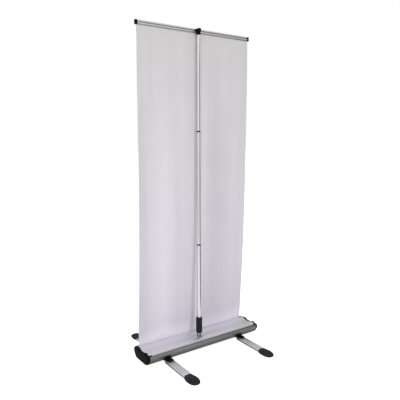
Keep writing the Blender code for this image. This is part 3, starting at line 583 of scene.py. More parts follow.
def mixColours(tree, share, one, other):
    # one * (1 - share) + other * share
    mix = addNode(tree, "ShaderNodeMix", {0: share}, data_type="RGBA")
    for socket, value in ((mix.inputs[6], one), (mix.inputs[7], other)):
        if isinstance(value, bpy.types.NodeSocket):
            tree.links.new(value, socket)
        else:
            socket.default_value = (*value, 1.0)
    return mix.outputs[2]


def spread(tree, value, low, high):
    # carries the useful range of a noise over to low..high
    return remapped(tree, value, *masks["useful"], low, high)


def finishUp(tree, colour, roughness, relief, distance, height):
    # what every finish sets on its shader: colour, roughness and a shallow relief
    shader = tree.nodes["Principled BSDF"]
    bump = addNode(tree, "ShaderNodeBump", {"Strength": relief, "Distance": distance, "Height": height})
    for key, value in (("Base Color", colour), ("Roughness", roughness), ("Normal", bump.outputs[0])):
        tree.links.new(value, shader.inputs[key])
    return shader


# Finishes.

metalLooks = {
    "anodised": {"light": (0.83, 0.83, 0.845), "shade": (0.78, 0.78, 0.80), "dust": (0.60, 0.59, 0.57),
                 "rough": (0.34, 0.44), "bump": 0.10, "wear": 0.3, "cavity": 0.35, "reach": 0.003},
    "rail": {"light": (0.68, 0.68, 0.675), "shade": (0.62, 0.62, 0.615), "dust": (0.44, 0.43, 0.41),
             "rough": (0.44, 0.54), "bump": 0.10, "wear": 0.4, "cavity": 1.0, "reach": 0.005},
    # the hull is a darkened copy of the anodised aluminium: its colours are painted shade, with more painted
    # shade towards the underside and in its grooves
    "hull": {"light": (0.255, 0.255, 0.25), "shade": (0.23, 0.23, 0.23), "dust": (0.36, 0.35, 0.33),
             "rough": (0.34, 0.46), "bump": 0.10, "wear": 0.4, "undersideShade": 1.0, "cavity": 1.0, "reach": 0.006,
             "undersideShadeTop": 0.072, "undersideShadeBottom": 0.0295},
    # the foot bars get painted shade on their side faces, below the top
    "foot": {"light": (0.86, 0.86, 0.86), "shade": (0.81, 0.81, 0.815), "dust": (0.70, 0.69, 0.67),
             "rough": (0.44, 0.54), "bump": 0.10, "wear": 0.3, "cavity": 0.7, "undersideShade": 1.0,
             "undersideShadeTop": 0.0136, "undersideShadeBottom": 0.0110},
    "tube": {"light": (0.75, 0.75, 0.75), "shade": (0.69, 0.69, 0.695), "dust": (0.56, 0.55, 0.53),
             "rough": (0.09, 0.15), "bump": 0.05, "wear": 0.2, "cavity": 0.5, "reach": 0.003},
    "blackened": {"light": (0.040, 0.040, 0.042), "shade": (0.022, 0.022, 0.024),
                  "dust": (0.07, 0.068, 0.064), "rough": (0.40, 0.55), "bump": 0.12, "wear": 0.2,
                  "cavity": 0.7},
    "zinc": {"light": (0.50, 0.51, 0.53), "shade": (0.36, 0.37, 0.40), "dust": (0.30, 0.27, 0.22),
             "rough": (0.30, 0.55), "bump": 0.15, "wear": 0.5, "cavity": 0.7},
    "polished": {"light": (0.42, 0.42, 0.43), "shade": (0.30, 0.30, 0.31), "dust": (0.30, 0.28, 0.25),
                 "rough": (0.08, 0.18), "bump": 0.05, "wear": 0.1, "cavity": 0.8},
    "spring": {"light": (0.34, 0.34, 0.35), "shade": (0.22, 0.22, 0.23), "dust": (0.20, 0.17, 0.13),
               "rough": (0.28, 0.45), "bump": 0.12, "wear": 0.2, "cavity": 0.5}}
# the colour of the painted shade in grooves, in corners and on the low flanks
paintedShadeColour = (0.034, 0.033, 0.032)
rubbedLift = 1.2  # how much brighter a rubbed edge is
reliefDepth = 0.0003  # full height of the drawn lines and the mould grain


def makeMetal(name, look, stretch):
    # drawn lines set shade, gloss and relief; edges are rubbed bright, grooves and corners get painted shade,
    # the low flanks painted shade towards the underside, and the upper faces dust
    values = metalLooks[look]
    material, tree = startMaterial(name, keepShader=True)
    lines = useGroup(tree, drawnLines, Stretch=stretch)
    worn = useGroup(tree, edgeWear, Amount=values["wear"])["Worn"]
    dust = useGroup(tree, outdoorDust)["Dust"]
    # painted shade in grooves and corners, and on the low flanks towards the underside
    cavity = useGroup(tree, paintedGrooveShade, Amount=values["cavity"], Reach=values.get("reach", 0.006))["Cavity"]
    undersideShade = useGroup(tree, roadGrime, Amount=values.get("undersideShade", 0.0), Top=values.get("undersideShadeTop", 0.086),
                     Bottom=values.get("undersideShadeBottom", 0.020))["Grime"]
    base = mixColours(tree, spread(tree, lines["Band"], 0.0, 1.0), values["light"], values["shade"])
    bright = tuple(min(1.0, c * rubbedLift) for c in values["light"])
    rubbed = mixColours(tree, worn, mixColours(tree, undersideShade, base, paintedShadeColour), bright)
    grooveShaded = mixColours(tree, cavity, rubbed, paintedShadeColour)
    dull = mathOf(tree, "ADD", spread(tree, lines["Line"], *values["rough"]), dust, clamp=True)
    dusty = mixColours(tree, dust, grooveShaded, values["dust"])
    shader = finishUp(tree, dusty, dull, values["bump"], reliefDepth, lines["Line"])
    tree.links.new(mathOf(tree, "SUBTRACT", 1.0, dust, clamp=True), shader.inputs["Metallic"])
    return material


plasticLooks = {
    "moulding": {"light": (0.010, 0.010, 0.011), "shade": (0.006, 0.006, 0.007),
                 "worn": (0.030, 0.030, 0.032), "dust": (0.06, 0.058, 0.054), "rough": (0.46, 0.58),
                 "size": 900.0, "bump": 0.16, "specular": 0.03, "rub": 0.3, "rubWidth": 0.0009,
                 "dustAmount": 0.16},
    "rubber": {"light": (0.019, 0.019, 0.023), "shade": (0.012, 0.012, 0.015),
               "worn": (0.050, 0.049, 0.048), "dust": (0.11, 0.105, 0.095), "rough": (0.60, 0.78),
               "size": 600.0, "bump": 0.30, "specular": 0.20, "rub": 0.7, "rubWidth": 0.0009,
               "dustAmount": 0.16}}


def makePlastic(name, look):
    # fine mould grain in relief and gloss, slow changes of black, greyed edges and a little dust
    values = plasticLooks[look]
    material, tree = startMaterial(name, keepShader=True)
    grain = useGroup(tree, mouldGrain, Size=values["size"])
    worn = useGroup(tree, edgeWear, Width=values["rubWidth"], Amount=values["rub"])["Worn"]
    dust = useGroup(tree, outdoorDust, Amount=values["dustAmount"])["Dust"]
    base = mixColours(tree, spread(tree, grain["Shade"], 0.0, 1.0), values["light"], values["shade"])
    rubbed = mixColours(tree, worn, base, values["worn"])
    dusty = mixColours(tree, dust, rubbed, values["dust"])
    dull = spread(tree, grain["Shade"], *values["rough"])
    shader = finishUp(tree, dusty, dull, values["bump"], reliefDepth, grain["Grain"])
    shader.inputs["Specular IOR Level"].default_value = values["specular"]
    return material


# paleLow and paleHigh are the film's colours near the slot and near the rail, where the lighter, bluer low
# end is painted light; dim is the dark end of the mix, reached by painted shade and by the random streaks and
# clouds
filmLook = {"paleLow": (0.882, 0.846, 0.959), "paleHigh": (0.846, 0.824, 0.830), "dim": 0.70,
            "streak": 0.068, "cloud": 0.05, "rough": (0.46, 0.60), "bump": 0.05,
            "relief": 0.0001}


def makeFilm(name, width, length):
    # coated banner film: painted light and shade of the folds, faint clouds and drawn streaks in the white,
    # threads in relief
    material, tree = startMaterial(name, keepShader=True)
    weave = useGroup(tree, filmWeave, Width=width, Length=length)
    pale = mixColours(tree, weave["Up"], filmLook["paleLow"], filmLook["paleHigh"])
    dim = mixColours(tree, weave["Up"], *[tuple(c * filmLook["dim"] for c in filmLook[key])
                                          for key in ("paleLow", "paleHigh")])
    # the film's painted light and shade, read from its attribute
    share = addNode(tree, "ShaderNodeAttribute", attribute_name="paintedFilmShading").outputs["Fac"]
    share = mathOf(tree, "MULTIPLY_ADD", share, -0.5, 0.5)
    for mask, depth in ((weave["Streak"], filmLook["streak"]), (weave["Cloud"], filmLook["cloud"])):
        share = mathOf(tree, "ADD", share, spread(tree, mask, -depth, depth), clamp=True)
    finishUp(tree, mixColours(tree, share, pale, dim), spread(tree, weave["Cloud"], *filmLook["rough"]),
             filmLook["bump"], filmLook["relief"], weave["Thread"])
    return material


# finish: material, look, stretch of the drawn lines along X, Y and Z
metalFinishes = {
    "profileAlongX": ("anodisedAlongX", "anodised", (2.0, 700.0, 700.0)),
    "railAlongX": ("anodisedRail", "rail", (2.0, 700.0, 700.0)),
    "hullAlongX": ("anodisedHullPaintedShade", "hull", (2.0, 600.0, 600.0)),
    "profileAlongY": ("anodisedAlongY", "foot", (700.0, 3.0, 700.0)),
    "tubeAlongZ": ("anodisedTube", "tube", (700.0, 700.0, 2.0)),
    "zinc": ("zincPlate", "zinc", (160.0, 160.0, 160.0)),
    "blackened": ("blackenedSteel", "blackened", (200.0, 200.0, 200.0)),
    "polished": ("polishedSteel", "polished", (60.0, 60.0, 2400.0)),
    "spring": ("springSteel", "spring", (220.0, 220.0, 220.0)),
    "rollerTube": ("rollerTubeSteel", "zinc", (3.0, 500.0, 500.0))}
finishes = {finish: makeMetal(*values) for finish, values in metalFinishes.items()}
# films: name, and the width and length of the sheet in metres
finishes.update(
    moulding=makePlastic("blackMoulding", "moulding"), rubber=makePlastic("blackRubber", "rubber"),
    bannerFilm=makeFilm("whiteFilm", 0.85, 2.046), shortFilm=makeFilm("whiteFilmShort", 0.85, 0.06),
    woundFilm=makeFilm("whiteFilmWound", 0.85, 1.0))
print("finishes are made:", len(finishes))


def dress(finish, *nodes):
    # a carried-over node keeps its mesh and takes a finish in each of its slots
    for node in nodes:
        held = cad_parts[node]
        held = bpy.data.objects[node] if isinstance(held, str) else held
        for slot in held.material_slots:
            slot.material = finishes[finish]


# Hanging film, pulled up behind the pole.

hangingFilm = {
    "width": 0.850, "thickness": 0.0005, "columns": 171, "rows": 201, "bottomZ": 0.0533, "topZ": 2.0972,
    # the film's middle line: height, distance behind the pole's axis
    "line": ((0.0533, 0.0863), (0.0670, 0.0838), (0.0803, 0.0806), (0.105, 0.0778), (0.205, 0.0712),
             (0.330, 0.0638), (0.500, 0.0532), (0.680, 0.0438), (0.880, 0.0360), (1.080, 0.0302),
             (1.280, 0.0264), (1.480, 0.0240), (1.700, 0.0222), (1.900, 0.0214), (2.030, 0.0222),
             (2.086, 0.0240), (2.0972, 0.0240)),
    # upright folds: place across the film, how far the film stands back there
    "folds": ((-0.425, 0.0050), (-0.385, 0.0024), (-0.330, -0.0010), (-0.270, -0.0030), (-0.160, 0.0050),
              (-0.085, 0.0012), (-0.012, 0.0050), (0.055, 0.0014), (0.100, 0.0010), (0.185, 0.0070),
              (0.290, -0.0010), (0.365, -0.0050), (0.425, 0.0010)),
    # painted light and shade in soft upright bands that stand for the shading of the folds: middle, half
    # width, how much lighter or darker
    "paintedBands": ((-0.410, 0.080, -0.56), (-0.240, 0.110, 0.60), (-0.140, 0.060, -0.20), (0.045, 0.060, 0.26),
              (0.180, 0.150, -0.66), (0.400, 0.080, 0.18)),
    # how far down the painted bands grow from the rail, then painted light at the slot and painted shade low
    # down, each with the share of the height it reaches
    "toneStart": 0.55, "slotPaintedLight": 1.6, "slotPaintedLightEnd": 0.075, "lowShade": 0.20, "lowShadeEnd": 0.24,
    "cutLength": 2.046, "drift": 0.020, "driftTurns": 1.3, "railFade": 0.16, "slotFade": 0.10,
    # a last slight waviness: depth, turns per metre across and up, in radians
    "waver": (0.0007, 9.0, 3.1)}


def makeHangingFilm():
    # point = (x, line(z) + fold(x + drift * sin(pi v)) * fade(v), z), with v from the slot to the rail
    d = hangingFilm
    v = np.linspace(0.0, 1.0, d["rows"])[:, None]
    u = np.linspace(0.0, 1.0, d["columns"])[None, :]
    x = d["width"] * (u - 0.5) + 0.0 * v
    z = d["bottomZ"] + (d["topZ"] - d["bottomZ"]) * v + 0.0 * u
    knots, back = zip(*d["line"])
    y = throughKnots(z, knots, back)
    places, depths = zip(*d["folds"])
    fade = smoothStep(v / d["slotFade"]) * smoothStep((1.0 - v) / d["railFade"])
    shifted = x + d["drift"] * np.sin(math.pi * v * d["driftTurns"])
    y = y + throughKnots(np.clip(shifted, -d["width"] / 2, d["width"] / 2), places, depths) * fade
    deep, across, up = d["waver"]
    y = y + deep * np.sin(across * x + up * z) * fade
    piece = sheetPiece("bannerFilm", np.stack([x, y, z], axis=-1), d["thickness"], finishes["bannerFilm"],
                       np.stack([u + 0 * v, v + 0 * u], axis=-1))
    # tone is painted light and shade: raised cosines across the film that grow from the rail down, painted
    # shade low down and painted light at the slot
    at = np.empty(len(piece.data.vertices) * 3)
    piece.data.vertices.foreach_get("co", at)
    across, up = at[0::3], (at[2::3] - d["bottomZ"]) / (d["topZ"] - d["bottomZ"])
    tone = np.zeros(len(across))
    for middle, half, amount in d["paintedBands"]:
        tone += amount * (1 + np.cos(math.pi * np.clip((across - middle) / half, -1.0, 1.0))) / 2
    tone = tone * smoothStep((1.0 - up) / d["toneStart"])
    tone = tone + d["slotPaintedLight"] * (1.0 - smoothStep(up / d["slotPaintedLightEnd"]))
    tone = tone - d["lowShade"] * (1.0 - smoothStep(up / d["lowShadeEnd"]))
    piece.data.attributes.new("paintedFilmShading", "FLOAT", "POINT").data.foreach_set("value", tone)
    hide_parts("rear_banner")
    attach(piece, "base")
    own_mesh(piece)


# Film between each roll and its slot, and the rolls themselves.

rolledFilm = {"rollY": 0.048, "rollZ": 0.0515, "slotY": 0.0863, "leadTop": 0.0530, "stubTop": 0.0617,
              "thickness": 0.0003, "leave": -58.0, "reach": 0.022, "tubeRadius": 0.0166, "filmGap": 0.00025,
              "rearRadius": 0.0176, "frontRadius": 0.0205, "width": 0.850, "leadRoom": 0.0011,
              "leadStraight": 0.012, "rollRoom": 0.0002, "turnSteps": 40, "rollThickness": 0.00018}


def leadLine(side, wound, steps):
    # cubic curve from the roll's tangent at the leaving angle to straight up in the slot
    d = rolledFilm
    angle = math.radians(d["leave"])
    radius = wound + d["leadRoom"]
    start = np.array([d["rollY"] + radius * math.cos(angle), d["rollZ"] + radius * math.sin(angle)])
    heading = np.array([-math.sin(angle), math.cos(angle)])
    knots = np.array([start, start + d["reach"] * heading, (d["slotY"], d["leadTop"] - d["leadStraight"]),
                      (d["slotY"], d["leadTop"])])
    t = np.linspace(0.0, 1.0, steps)[:, None]
    line = (knots[0] * (1 - t) ** 3 + 3 * knots[1] * (1 - t) ** 2 * t + 3 * knots[2] * (1 - t) * t ** 2
            + knots[3] * t ** 3)
    return line * np.array([side, 1.0])


def filmAlong(name, line, material, columns=41, thickness=rolledFilm["thickness"]):
    # the (y, z) line carried straight across the film's width
    width = rolledFilm["width"]
    x = np.linspace(-width / 2, width / 2, columns)
    grid = ringsAlongX(x, line).transpose(1, 0, 2)
    along = np.concatenate([[0.0], np.cumsum(np.linalg.norm(np.diff(line, axis=0), axis=1))])
    uv = np.stack(np.broadcast_arrays(x[None, :] / width + 0.5, (along / along[-1])[:, None]), axis=-1)
    return sheetPiece(name, grid, thickness, material, uv), float(along[-1])


def makeLeads():
    # the rear film runs from its roll to the slot, and the front one goes on straight up into the parked rail
    d = rolledFilm
    piece, length = filmAlong("rearLeadFilm", leadLine(1, d["rearRadius"], 33), finishes["shortFilm"])
    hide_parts("rear_film_lead")
    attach(piece, "base")
    rise = np.linspace(d["leadTop"], d["stubTop"], 121)[1:]
    line = np.concatenate([leadLine(-1, d["frontRadius"], 33),
                           np.stack([np.full(len(rise), -d["slotY"]), rise], axis=-1)])
    piece, length = filmAlong("frontFilm", line, finishes["shortFilm"], 31)
    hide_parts("front_film_lead", "front_film_stub")
    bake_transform(piece)


def makeRolls():
    # spiral: radius grows by one film and its gap with each turn, from the tube out to the roll's outside
    d = rolledFilm
    room = d["rollRoom"]
    for side, word, outside in ((1, "rear", d["rearRadius"]), (-1, "front", d["frontRadius"])):
        turns = round((outside - d["tubeRadius"]) / d["filmGap"])
        t = np.linspace(0.0, 1.0, turns * d["turnSteps"] + 1)
        radius = d["tubeRadius"] + room + (outside - room - d["tubeRadius"] - room) * t
        angle = math.radians(d["leave"]) + math.tau * turns * (t - 1.0)
        line = np.stack([side * (d["rollY"] + radius * np.cos(angle)),
                         d["rollZ"] + radius * np.sin(angle)], axis=-1)
        piece, length = filmAlong(f"{word}WoundFilm", line, finishes["woundFilm"], 3, d["rollThickness"])
        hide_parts(f"{word}_winding")
        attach(piece, f"{word}_roller_body")


makeHangingFilm()
makeLeads()
makeRolls()
print("banner film hangs, runs through the slots and lies on the rollers")


# Base: hull, saddle and end caps.

baseShape = {"halfLength": 0.4345, "bottomZ": 0.0170, "wall": 0.0024, "bottomHalf": 0.0725,
             "widestHalf": 0.100, "widestZ": 0.0650, "lipZ": 0.0775, "lipInset": 0.0050, "corner": 0.006,
             "valleyZ": 0.0760, "crestZ": 0.0867, "flatHalf": 0.013, "crestY": 0.051, "slotInner": 0.0787,
             "slotOuter": 0.0939, "edgeDrop": 0.0075, "skirt": 0.021, "skirtWall": 0.002,
             "ribInner": 0.0183, "ribWall": 0.002, "ribRoom": 0.0008, "portZ": 0.0440, "portSize": 0.009,
             "portLap": 0.001, "holeRadius": 0.0104, "seatRadius": 0.0163, "cornerTuck": (0.0015, 0.0006),
             "flankFoot": 0.0022, "insetFoot": 0.4, "lipDrop": 0.0004, "cutDeep": 0.01}


def saddleTop(steps=24):
    # from the middle out: level, a raised cosine up to the crest, then a quarter cosine down to the slot
    d = baseShape
    t, fall = np.linspace(0.0, 1.0, steps), np.linspace(0.0, 1.0, steps // 2)[1:]
    rise = np.stack([d["flatHalf"] + (d["crestY"] - d["flatHalf"]) * t,
                     d["valleyZ"] + (d["crestZ"] - d["valleyZ"]) * (1 - np.cos(math.pi * t)) / 2], axis=-1)
    drop = np.stack([d["crestY"] + (d["slotInner"] - d["crestY"]) * fall,
                     d["crestZ"] - d["edgeDrop"] * (1 - np.cos(math.pi / 2 * fall))], axis=-1)
    return np.concatenate([[(0.0, d["valleyZ"])], rise, drop])


def hullFlank(inset, steps=22):
    # from the bottom corner up: a sine swell to the widest line, then a quarter ellipse to the lip
    d = baseShape
    low, t = d["bottomZ"] + d["flankFoot"] + inset * d["insetFoot"], np.linspace(0.0, 1.0, steps)
    angle = quarterTurn(steps // 2)[1:]
    out = d["bottomHalf"] + (d["widestHalf"] - d["bottomHalf"]) * np.sin(quarterTurn(steps)) - inset
    swell = np.stack([out, low + (d["widestZ"] - low) * t], axis=-1)
    over = np.stack([d["widestHalf"] - d["lipInset"] * (1 - np.cos(angle)) - inset,
                     d["widestZ"] + (d["lipZ"] - inset - d["widestZ"]) * np.sin(angle)], axis=-1)
    return np.concatenate([swell, over])


def withMirror(half):
    # a half outline and its mirror image across the middle plane
    half = np.asarray(half, float)
    return np.concatenate([half, half[::-1] * (-1.0, 1.0)])


def makeBase():
    # hull: bottom, flank, lip and back inside to the rib with its screw port;
    # saddle: top, skirt and underside
    d = baseShape
    floor, rib = d["bottomZ"] + d["wall"], d["ribInner"] + d["ribWall"]
    port = d["ribInner"] + d["portSize"] - d["portLap"]
    low, high = d["portZ"] - d["portSize"] / 2, d["portZ"] + d["portSize"] / 2
    ribTop = d["valleyZ"] - d["wall"] - d["ribRoom"]
    tuckY, tuckZ = d["cornerTuck"]
    half = np.concatenate([
        [(d["bottomHalf"] - d["corner"], d["bottomZ"]), (d["bottomHalf"] - tuckY, d["bottomZ"] + tuckZ)],
        hullFlank(0.0), [(d["slotOuter"], d["lipZ"] - d["lipDrop"]), (d["slotOuter"], d["lipZ"] - d["wall"])],
        hullFlank(d["wall"])[-2::-1],
        [(d["bottomHalf"] - d["corner"], floor), (rib, floor), (rib, low), (port, low), (port, high),
         (rib, high), (rib, ribTop), (d["ribInner"], ribTop), (d["ribInner"], floor)]])
    end = d["halfLength"]
    hull = extrudedPiece("baseHull", withMirror(half), -end, end, finishes["hullAlongX"], crisp["profile"])
    settle(hull, "base", "satin_aluminium", "base_hull")
    top = saddleTop()
    under = top[:-4] - (0.0, d["wall"])
    skirtY, skirtZ = d["slotInner"] - d["skirtWall"], top[-1, 1] - d["skirt"]
    half = np.concatenate([top, [(d["slotInner"], skirtZ), (skirtY, skirtZ),
                                 (skirtY, top[-3, 1] - d["wall"])], under[::-1]])
    outline = np.concatenate([half, half[-2:0:-1] * (-1.0, 1.0)])
    saddle = extrudedPiece("baseSaddle", outline, -end, end, finishes["profileAlongX"], crisp["profile"])
    for radius, offset in ((d["holeRadius"], 0.0), (d["seatRadius"], d["cutDeep"])):
        profile = np.array(drum) * (radius, d["cutDeep"]) + (0.0, d["valleyZ"] + offset)
        carve(saddle, turnedPiece("cutter", profile, (0, 0, 0), None, segments=64, loop=False))
    closeUp(saddle, crisp["profile"])
    settle(saddle, "base", "satin_aluminium", "base_saddle")


shadowStripShape = {"middleY": 0.0932, "thickness": 0.0012, "lowZ": 0.0700, "topZ": 0.0792, "end": 0.4340}


def makeShadowStrips():
    # black rubber strips along the slots' outer edges, put there as painted shadow of the gap beside each
    # rail: a thin blade with a rounded top, carried along X
    e = shadowStripShape
    turn = math.pi * np.linspace(0.0, 1.0, 9)
    half = e["thickness"] / 2
    top = np.stack([half * np.cos(turn), e["topZ"] - half + half * np.sin(turn)], axis=-1)
    outline = np.concatenate([[(-half, e["lowZ"]), (half, e["lowZ"])], top])
    for side, row in ((-1, "front"), (1, "rear")):
        placed = outline + (side * e["middleY"], 0.0)
        strip = extrudedPiece(f"slotShadowStrip_{row}", placed, -e["end"], e["end"], finishes["rubber"])
        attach(strip, "base")


endCap = {"gap": 0.0003, "flange": 0.006, "proud": 0.001, "bulge": 0.0150, "shrink": 0.19, "edge": 0.0004,
          "edgeScale": 0.994, "laneEnd": 0.4375, "laneLow": 0.0525, "laneHigh": 0.0975, "laneRoom": 0.0002,
          "screwY": 0.0223, "recessRadius": 0.0055, "recessDepth": 0.0022, "headRadius": 0.0043,
          "headRound": 0.0012, "headFoot": 0.0030, "headTop": 0.0002,
          "crossReach": 0.0025, "crossWidth": 0.0009, "crossDepth": 0.0014, "past": 0.002,
          "belowHull": 0.0001}


def capScrew(sign, face, centre):
    # a screw head turned about X, its rim a quarter circle, with a cross cut into its face
    e = endCap
    inset, down = quarterRound(e["headRound"], 6)
    head = np.stack([e["headRadius"] - inset, face - e["headTop"] - down], axis=-1)
    head = np.concatenate([[(0.0, face - e["headFoot"]), (e["headRadius"], face - e["headFoot"])], head,
                           [(0.0, face - e["headTop"])]]) * (1.0, sign)
    screw = turnedPiece("screwHead", head, centre, finishes["blackened"], "X", 32, loop=False)
    for wide, tall in ((e["crossWidth"], e["crossReach"]), (e["crossReach"], e["crossWidth"])):
        carve(screw, blockPiece((sign * (face - e["crossDepth"]), centre[1] - wide, centre[2] - tall),
                                (sign * (face + e["past"] / 2), centre[1] + wide, centre[2] + tall)))
    return screw


def makeEndCaps():
    # stations along X keep the outline, then shrink it by a quarter cosine while they bulge by a quarter sine
    d, e = baseShape, endCap
    top = saddleTop() + (0.0, e["proud"])
    crossing = [((d["slotInner"] + d["slotOuter"]) / 2, (top[-1, 1] + d["lipZ"] + e["proud"]) / 2)]
    foot = [(d["bottomHalf"] - d["corner"], d["bottomZ"] - e["belowHull"])]
    half = np.concatenate([foot, hullFlank(-e["proud"]), crossing, top[:0:-1]])
    outline = np.concatenate([half, [top[0]], half[::-1] * (-1.0, 1.0)])
    middle = np.array([0.0, (d["bottomZ"] + d["lipZ"]) / 2])
    turn = quarterTurn(14)[1:]
    start = d["halfLength"] + e["gap"]
    flange = start + e["flange"]
    face = flange + e["bulge"]
    place = np.concatenate([[start, start + e["edge"], flange], flange + e["bulge"] * np.sin(turn)])
    scale = np.concatenate([[e["edgeScale"], 1.0, 1.0], 1.0 - e["shrink"] * (1 - np.cos(turn))])
    stations = middle + (outline - middle) * scale[:, None, None]
    for sign, hand in ((-1, "left"), (1, "right")):
        cap = loftPiece(f"endCap_{hand}", ringsAlongX(sign * place, stations), finishes["moulding"],
                        crisp["moulding"])
        cutters, heads = [], []
        for side in (-1, 1):
            inner, outer = d["slotInner"] - e["laneRoom"], d["slotOuter"] + e["laneRoom"]
            cutters.append(blockPiece((sign * (start - e["past"]), side * inner, e["laneLow"]),
                                      (sign * e["laneEnd"], side * outer, e["laneHigh"])))
            centre = (0.0, side * e["screwY"], d["portZ"])
            low, high = face - e["recessDepth"], face + e["past"]
            seat = np.array([(0.0, low), (e["recessRadius"], low), (e["recessRadius"], high), (0.0, high)])
            cutters.append(turnedPiece("cutter", seat * (1.0, sign), centre, None, "X", 48, loop=False))
            heads.append(capScrew(sign, face, centre))
        carve(cap, *cutters)
        settle(closeUp(cap, crisp["moulding"]), "base", "black_moulding", f"end_cap_{hand}")
        screws = joined(f"capScrews_{hand}", heads)
        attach(screws, "base")


makeBase()
# black strips in the slots' gaps stand for painted shadow
makeShadowStrips()
makeEndCaps()
print("base has its profiles, shadowStrips, caps and screws")


# Feet: bars, tips, brackets, pivots.

footShape = {"pivotX": 0.2955, "pivotY": 0.097, "barHalf": 0.0302, "barReach": 0.2205, "barLow": 0.003,
             "barHigh": 0.0135, "barRound": 0.0024, "boltHole": 0.0044, "bracketHalf": 0.0295,
             "bracketReach": 0.066, "bracketLow": 0.0145, "bracketHigh": 0.0167, "bossRadius": 0.010,
             "rivets": (0.056, 0.038), "rivetRadius": 0.0042, "rivetRise": 0.0018, "rivetSink": 0.0005,
             "bracketRound": 0.0005, "bossTaper": 0.0004, "gap": 0.0003, "boltRadius": 0.004,
             "boltLength": 0.0180, "boltHead": 0.0075, "headLow": 0.0007, "headHigh": 0.0027,
             "headEdge": (0.0003, 0.0004), "headTaper": 0.0008, "cutDeep": 0.01, "rimSteps": 6,
             "roundSteps": 28, "rivetSteps": 7}
tipShape = {"gap": 0.0003, "length": 0.0982, "lap": 0.013, "lapFade": 0.16, "lapLevel": (0.80, 0.12),
            "half": 0.038, "rootHalf": 0.0312, "height": 0.0162, "swell": 0.4, "fullness": 2.5,
            "droop": 0.42, "underside": 0.25, "crown": 0.6, "sole": 0.063, "rootScale": 0.93,
            "rootEnd": 0.006, "noseStart": 0.9, "noseClose": 0.6}
pivotCap = {"base": 0.0170, "height": 0.0065, "edge": 0.0025, "radius": 0.0205, "bore": 0.0043,
            "crown": 0.0215, "groove": 0.0145, "grooveWidth": 0.0009, "grooveDepth": 0.0006}


def plateRings(half, reach, side, low, high, rounding, place):
    # plan: two straight flanks from the far end and a half circle round the pivot, drawn in by each
    # level's inset; levels go from the underside to the top, with a quarter circle at both faces
    up, inset = quarterRound(rounding, footShape["rimSteps"])
    drawn = half - np.concatenate([inset, inset[::-1]])[:, None]
    levels = np.concatenate([low + up, high - up[::-1]])[:, None]
    angle = np.linspace(0.0, math.pi, footShape["roundSteps"])
    x = np.concatenate([-drawn, drawn, drawn * np.cos(angle)], axis=1)
    y = np.concatenate([side * reach + 0.0 * drawn] * 2 + [-side * drawn * np.sin(angle)], axis=1)
    return np.stack(np.broadcast_arrays(x + place[0], y + place[1], levels), axis=-1)


def tipRings(side, place):
    # at share t of the length: half width = swell(t) * (1 - late^n)^(1/n), height loses droop * late^2,
    # each section is a rounded oval with a flat sole, and the crown laps back over the bar in an arc
    e = tipShape
    # the stations close up at the root and towards the nose
    t = np.concatenate([[0.0, 0.012], np.linspace(0.03, 0.6, 20),
                        1.0 - 0.4 * np.linspace(0.97, 0.0, 26) ** 2])
    swell, late = np.minimum(1.0, t / e["swell"]), np.maximum(0.0, (t - e["swell"]) / (1 - e["swell"]))
    half = e["rootHalf"] + (e["half"] - e["rootHalf"]) * np.sin(math.pi / 2 * swell)
    half = half * (1 - late ** e["fullness"]) ** (1 / e["fullness"])
    height = e["height"] * (1 - e["droop"] * late ** 2)
    drawn = np.where(t < e["rootEnd"], e["rootScale"], 1.0)
    angle = np.linspace(0.0, math.tau, 64, endpoint=False)
    across = np.sign(np.cos(angle)) * np.abs(np.cos(angle)) ** e["crown"]
    power = np.where(np.sin(angle) < 0, e["underside"], e["crown"])
    rise = (1 + np.sign(np.sin(angle)) * np.abs(np.sin(angle)) ** power) / 2
    level = np.maximum(0.0, rise - e["sole"]) / (1 - e["sole"])
    close = 1 - np.clip((late - e["noseStart"]) / (1 - e["noseStart"]), 0, 1) ** 2 * e["noseClose"]
    start, span = e["lapLevel"]
    lap = e["lap"] * np.sqrt(np.maximum(0.0, 1.0 - across ** 2)) * smoothStep((level - start) / span)
    back = lap * (1 - smoothStep(t / e["lapFade"]))[:, None]
    return np.stack([place[0] + (half * drawn)[:, None] * across,
                     place[1] + side * ((footShape["barReach"] + e["gap"] + e["length"] * t)[:, None] - back),
                     (height * drawn * close)[:, None] * level], axis=-1)


def footPivot():
    # profiles of the bolt under the foot and of the cap over it: a quarter ellipse with a shallow groove
    d, c = footShape, pivotCap
    dome = quarterTurn(16)
    crown = np.stack([c["radius"] * np.sin(dome),
                      c["base"] + c["edge"] + (c["height"] - c["edge"]) * np.cos(dome)], axis=-1)
    crown[:, 1] -= np.exp(-((crown[:, 0] - c["groove"]) / c["grooveWidth"]) ** 2) * c["grooveDepth"]
    cap = np.concatenate([crown, [(c["radius"], c["base"]), (c["bore"], c["base"]), (c["bore"], c["crown"]),
                                  (0.0, c["crown"])]])
    shankTop, (edgeX, edgeZ) = d["headHigh"] + d["boltLength"], d["headEdge"]
    bolt = [(0.0, shankTop), (d["boltRadius"], shankTop), (d["boltRadius"], d["headHigh"]),
            (d["boltHead"] - edgeX, d["headHigh"]), (d["boltHead"], d["headHigh"] - edgeZ),
            (d["boltHead"] - d["headTaper"], d["headLow"]), (0.0, d["headLow"])]
    return bolt, cap


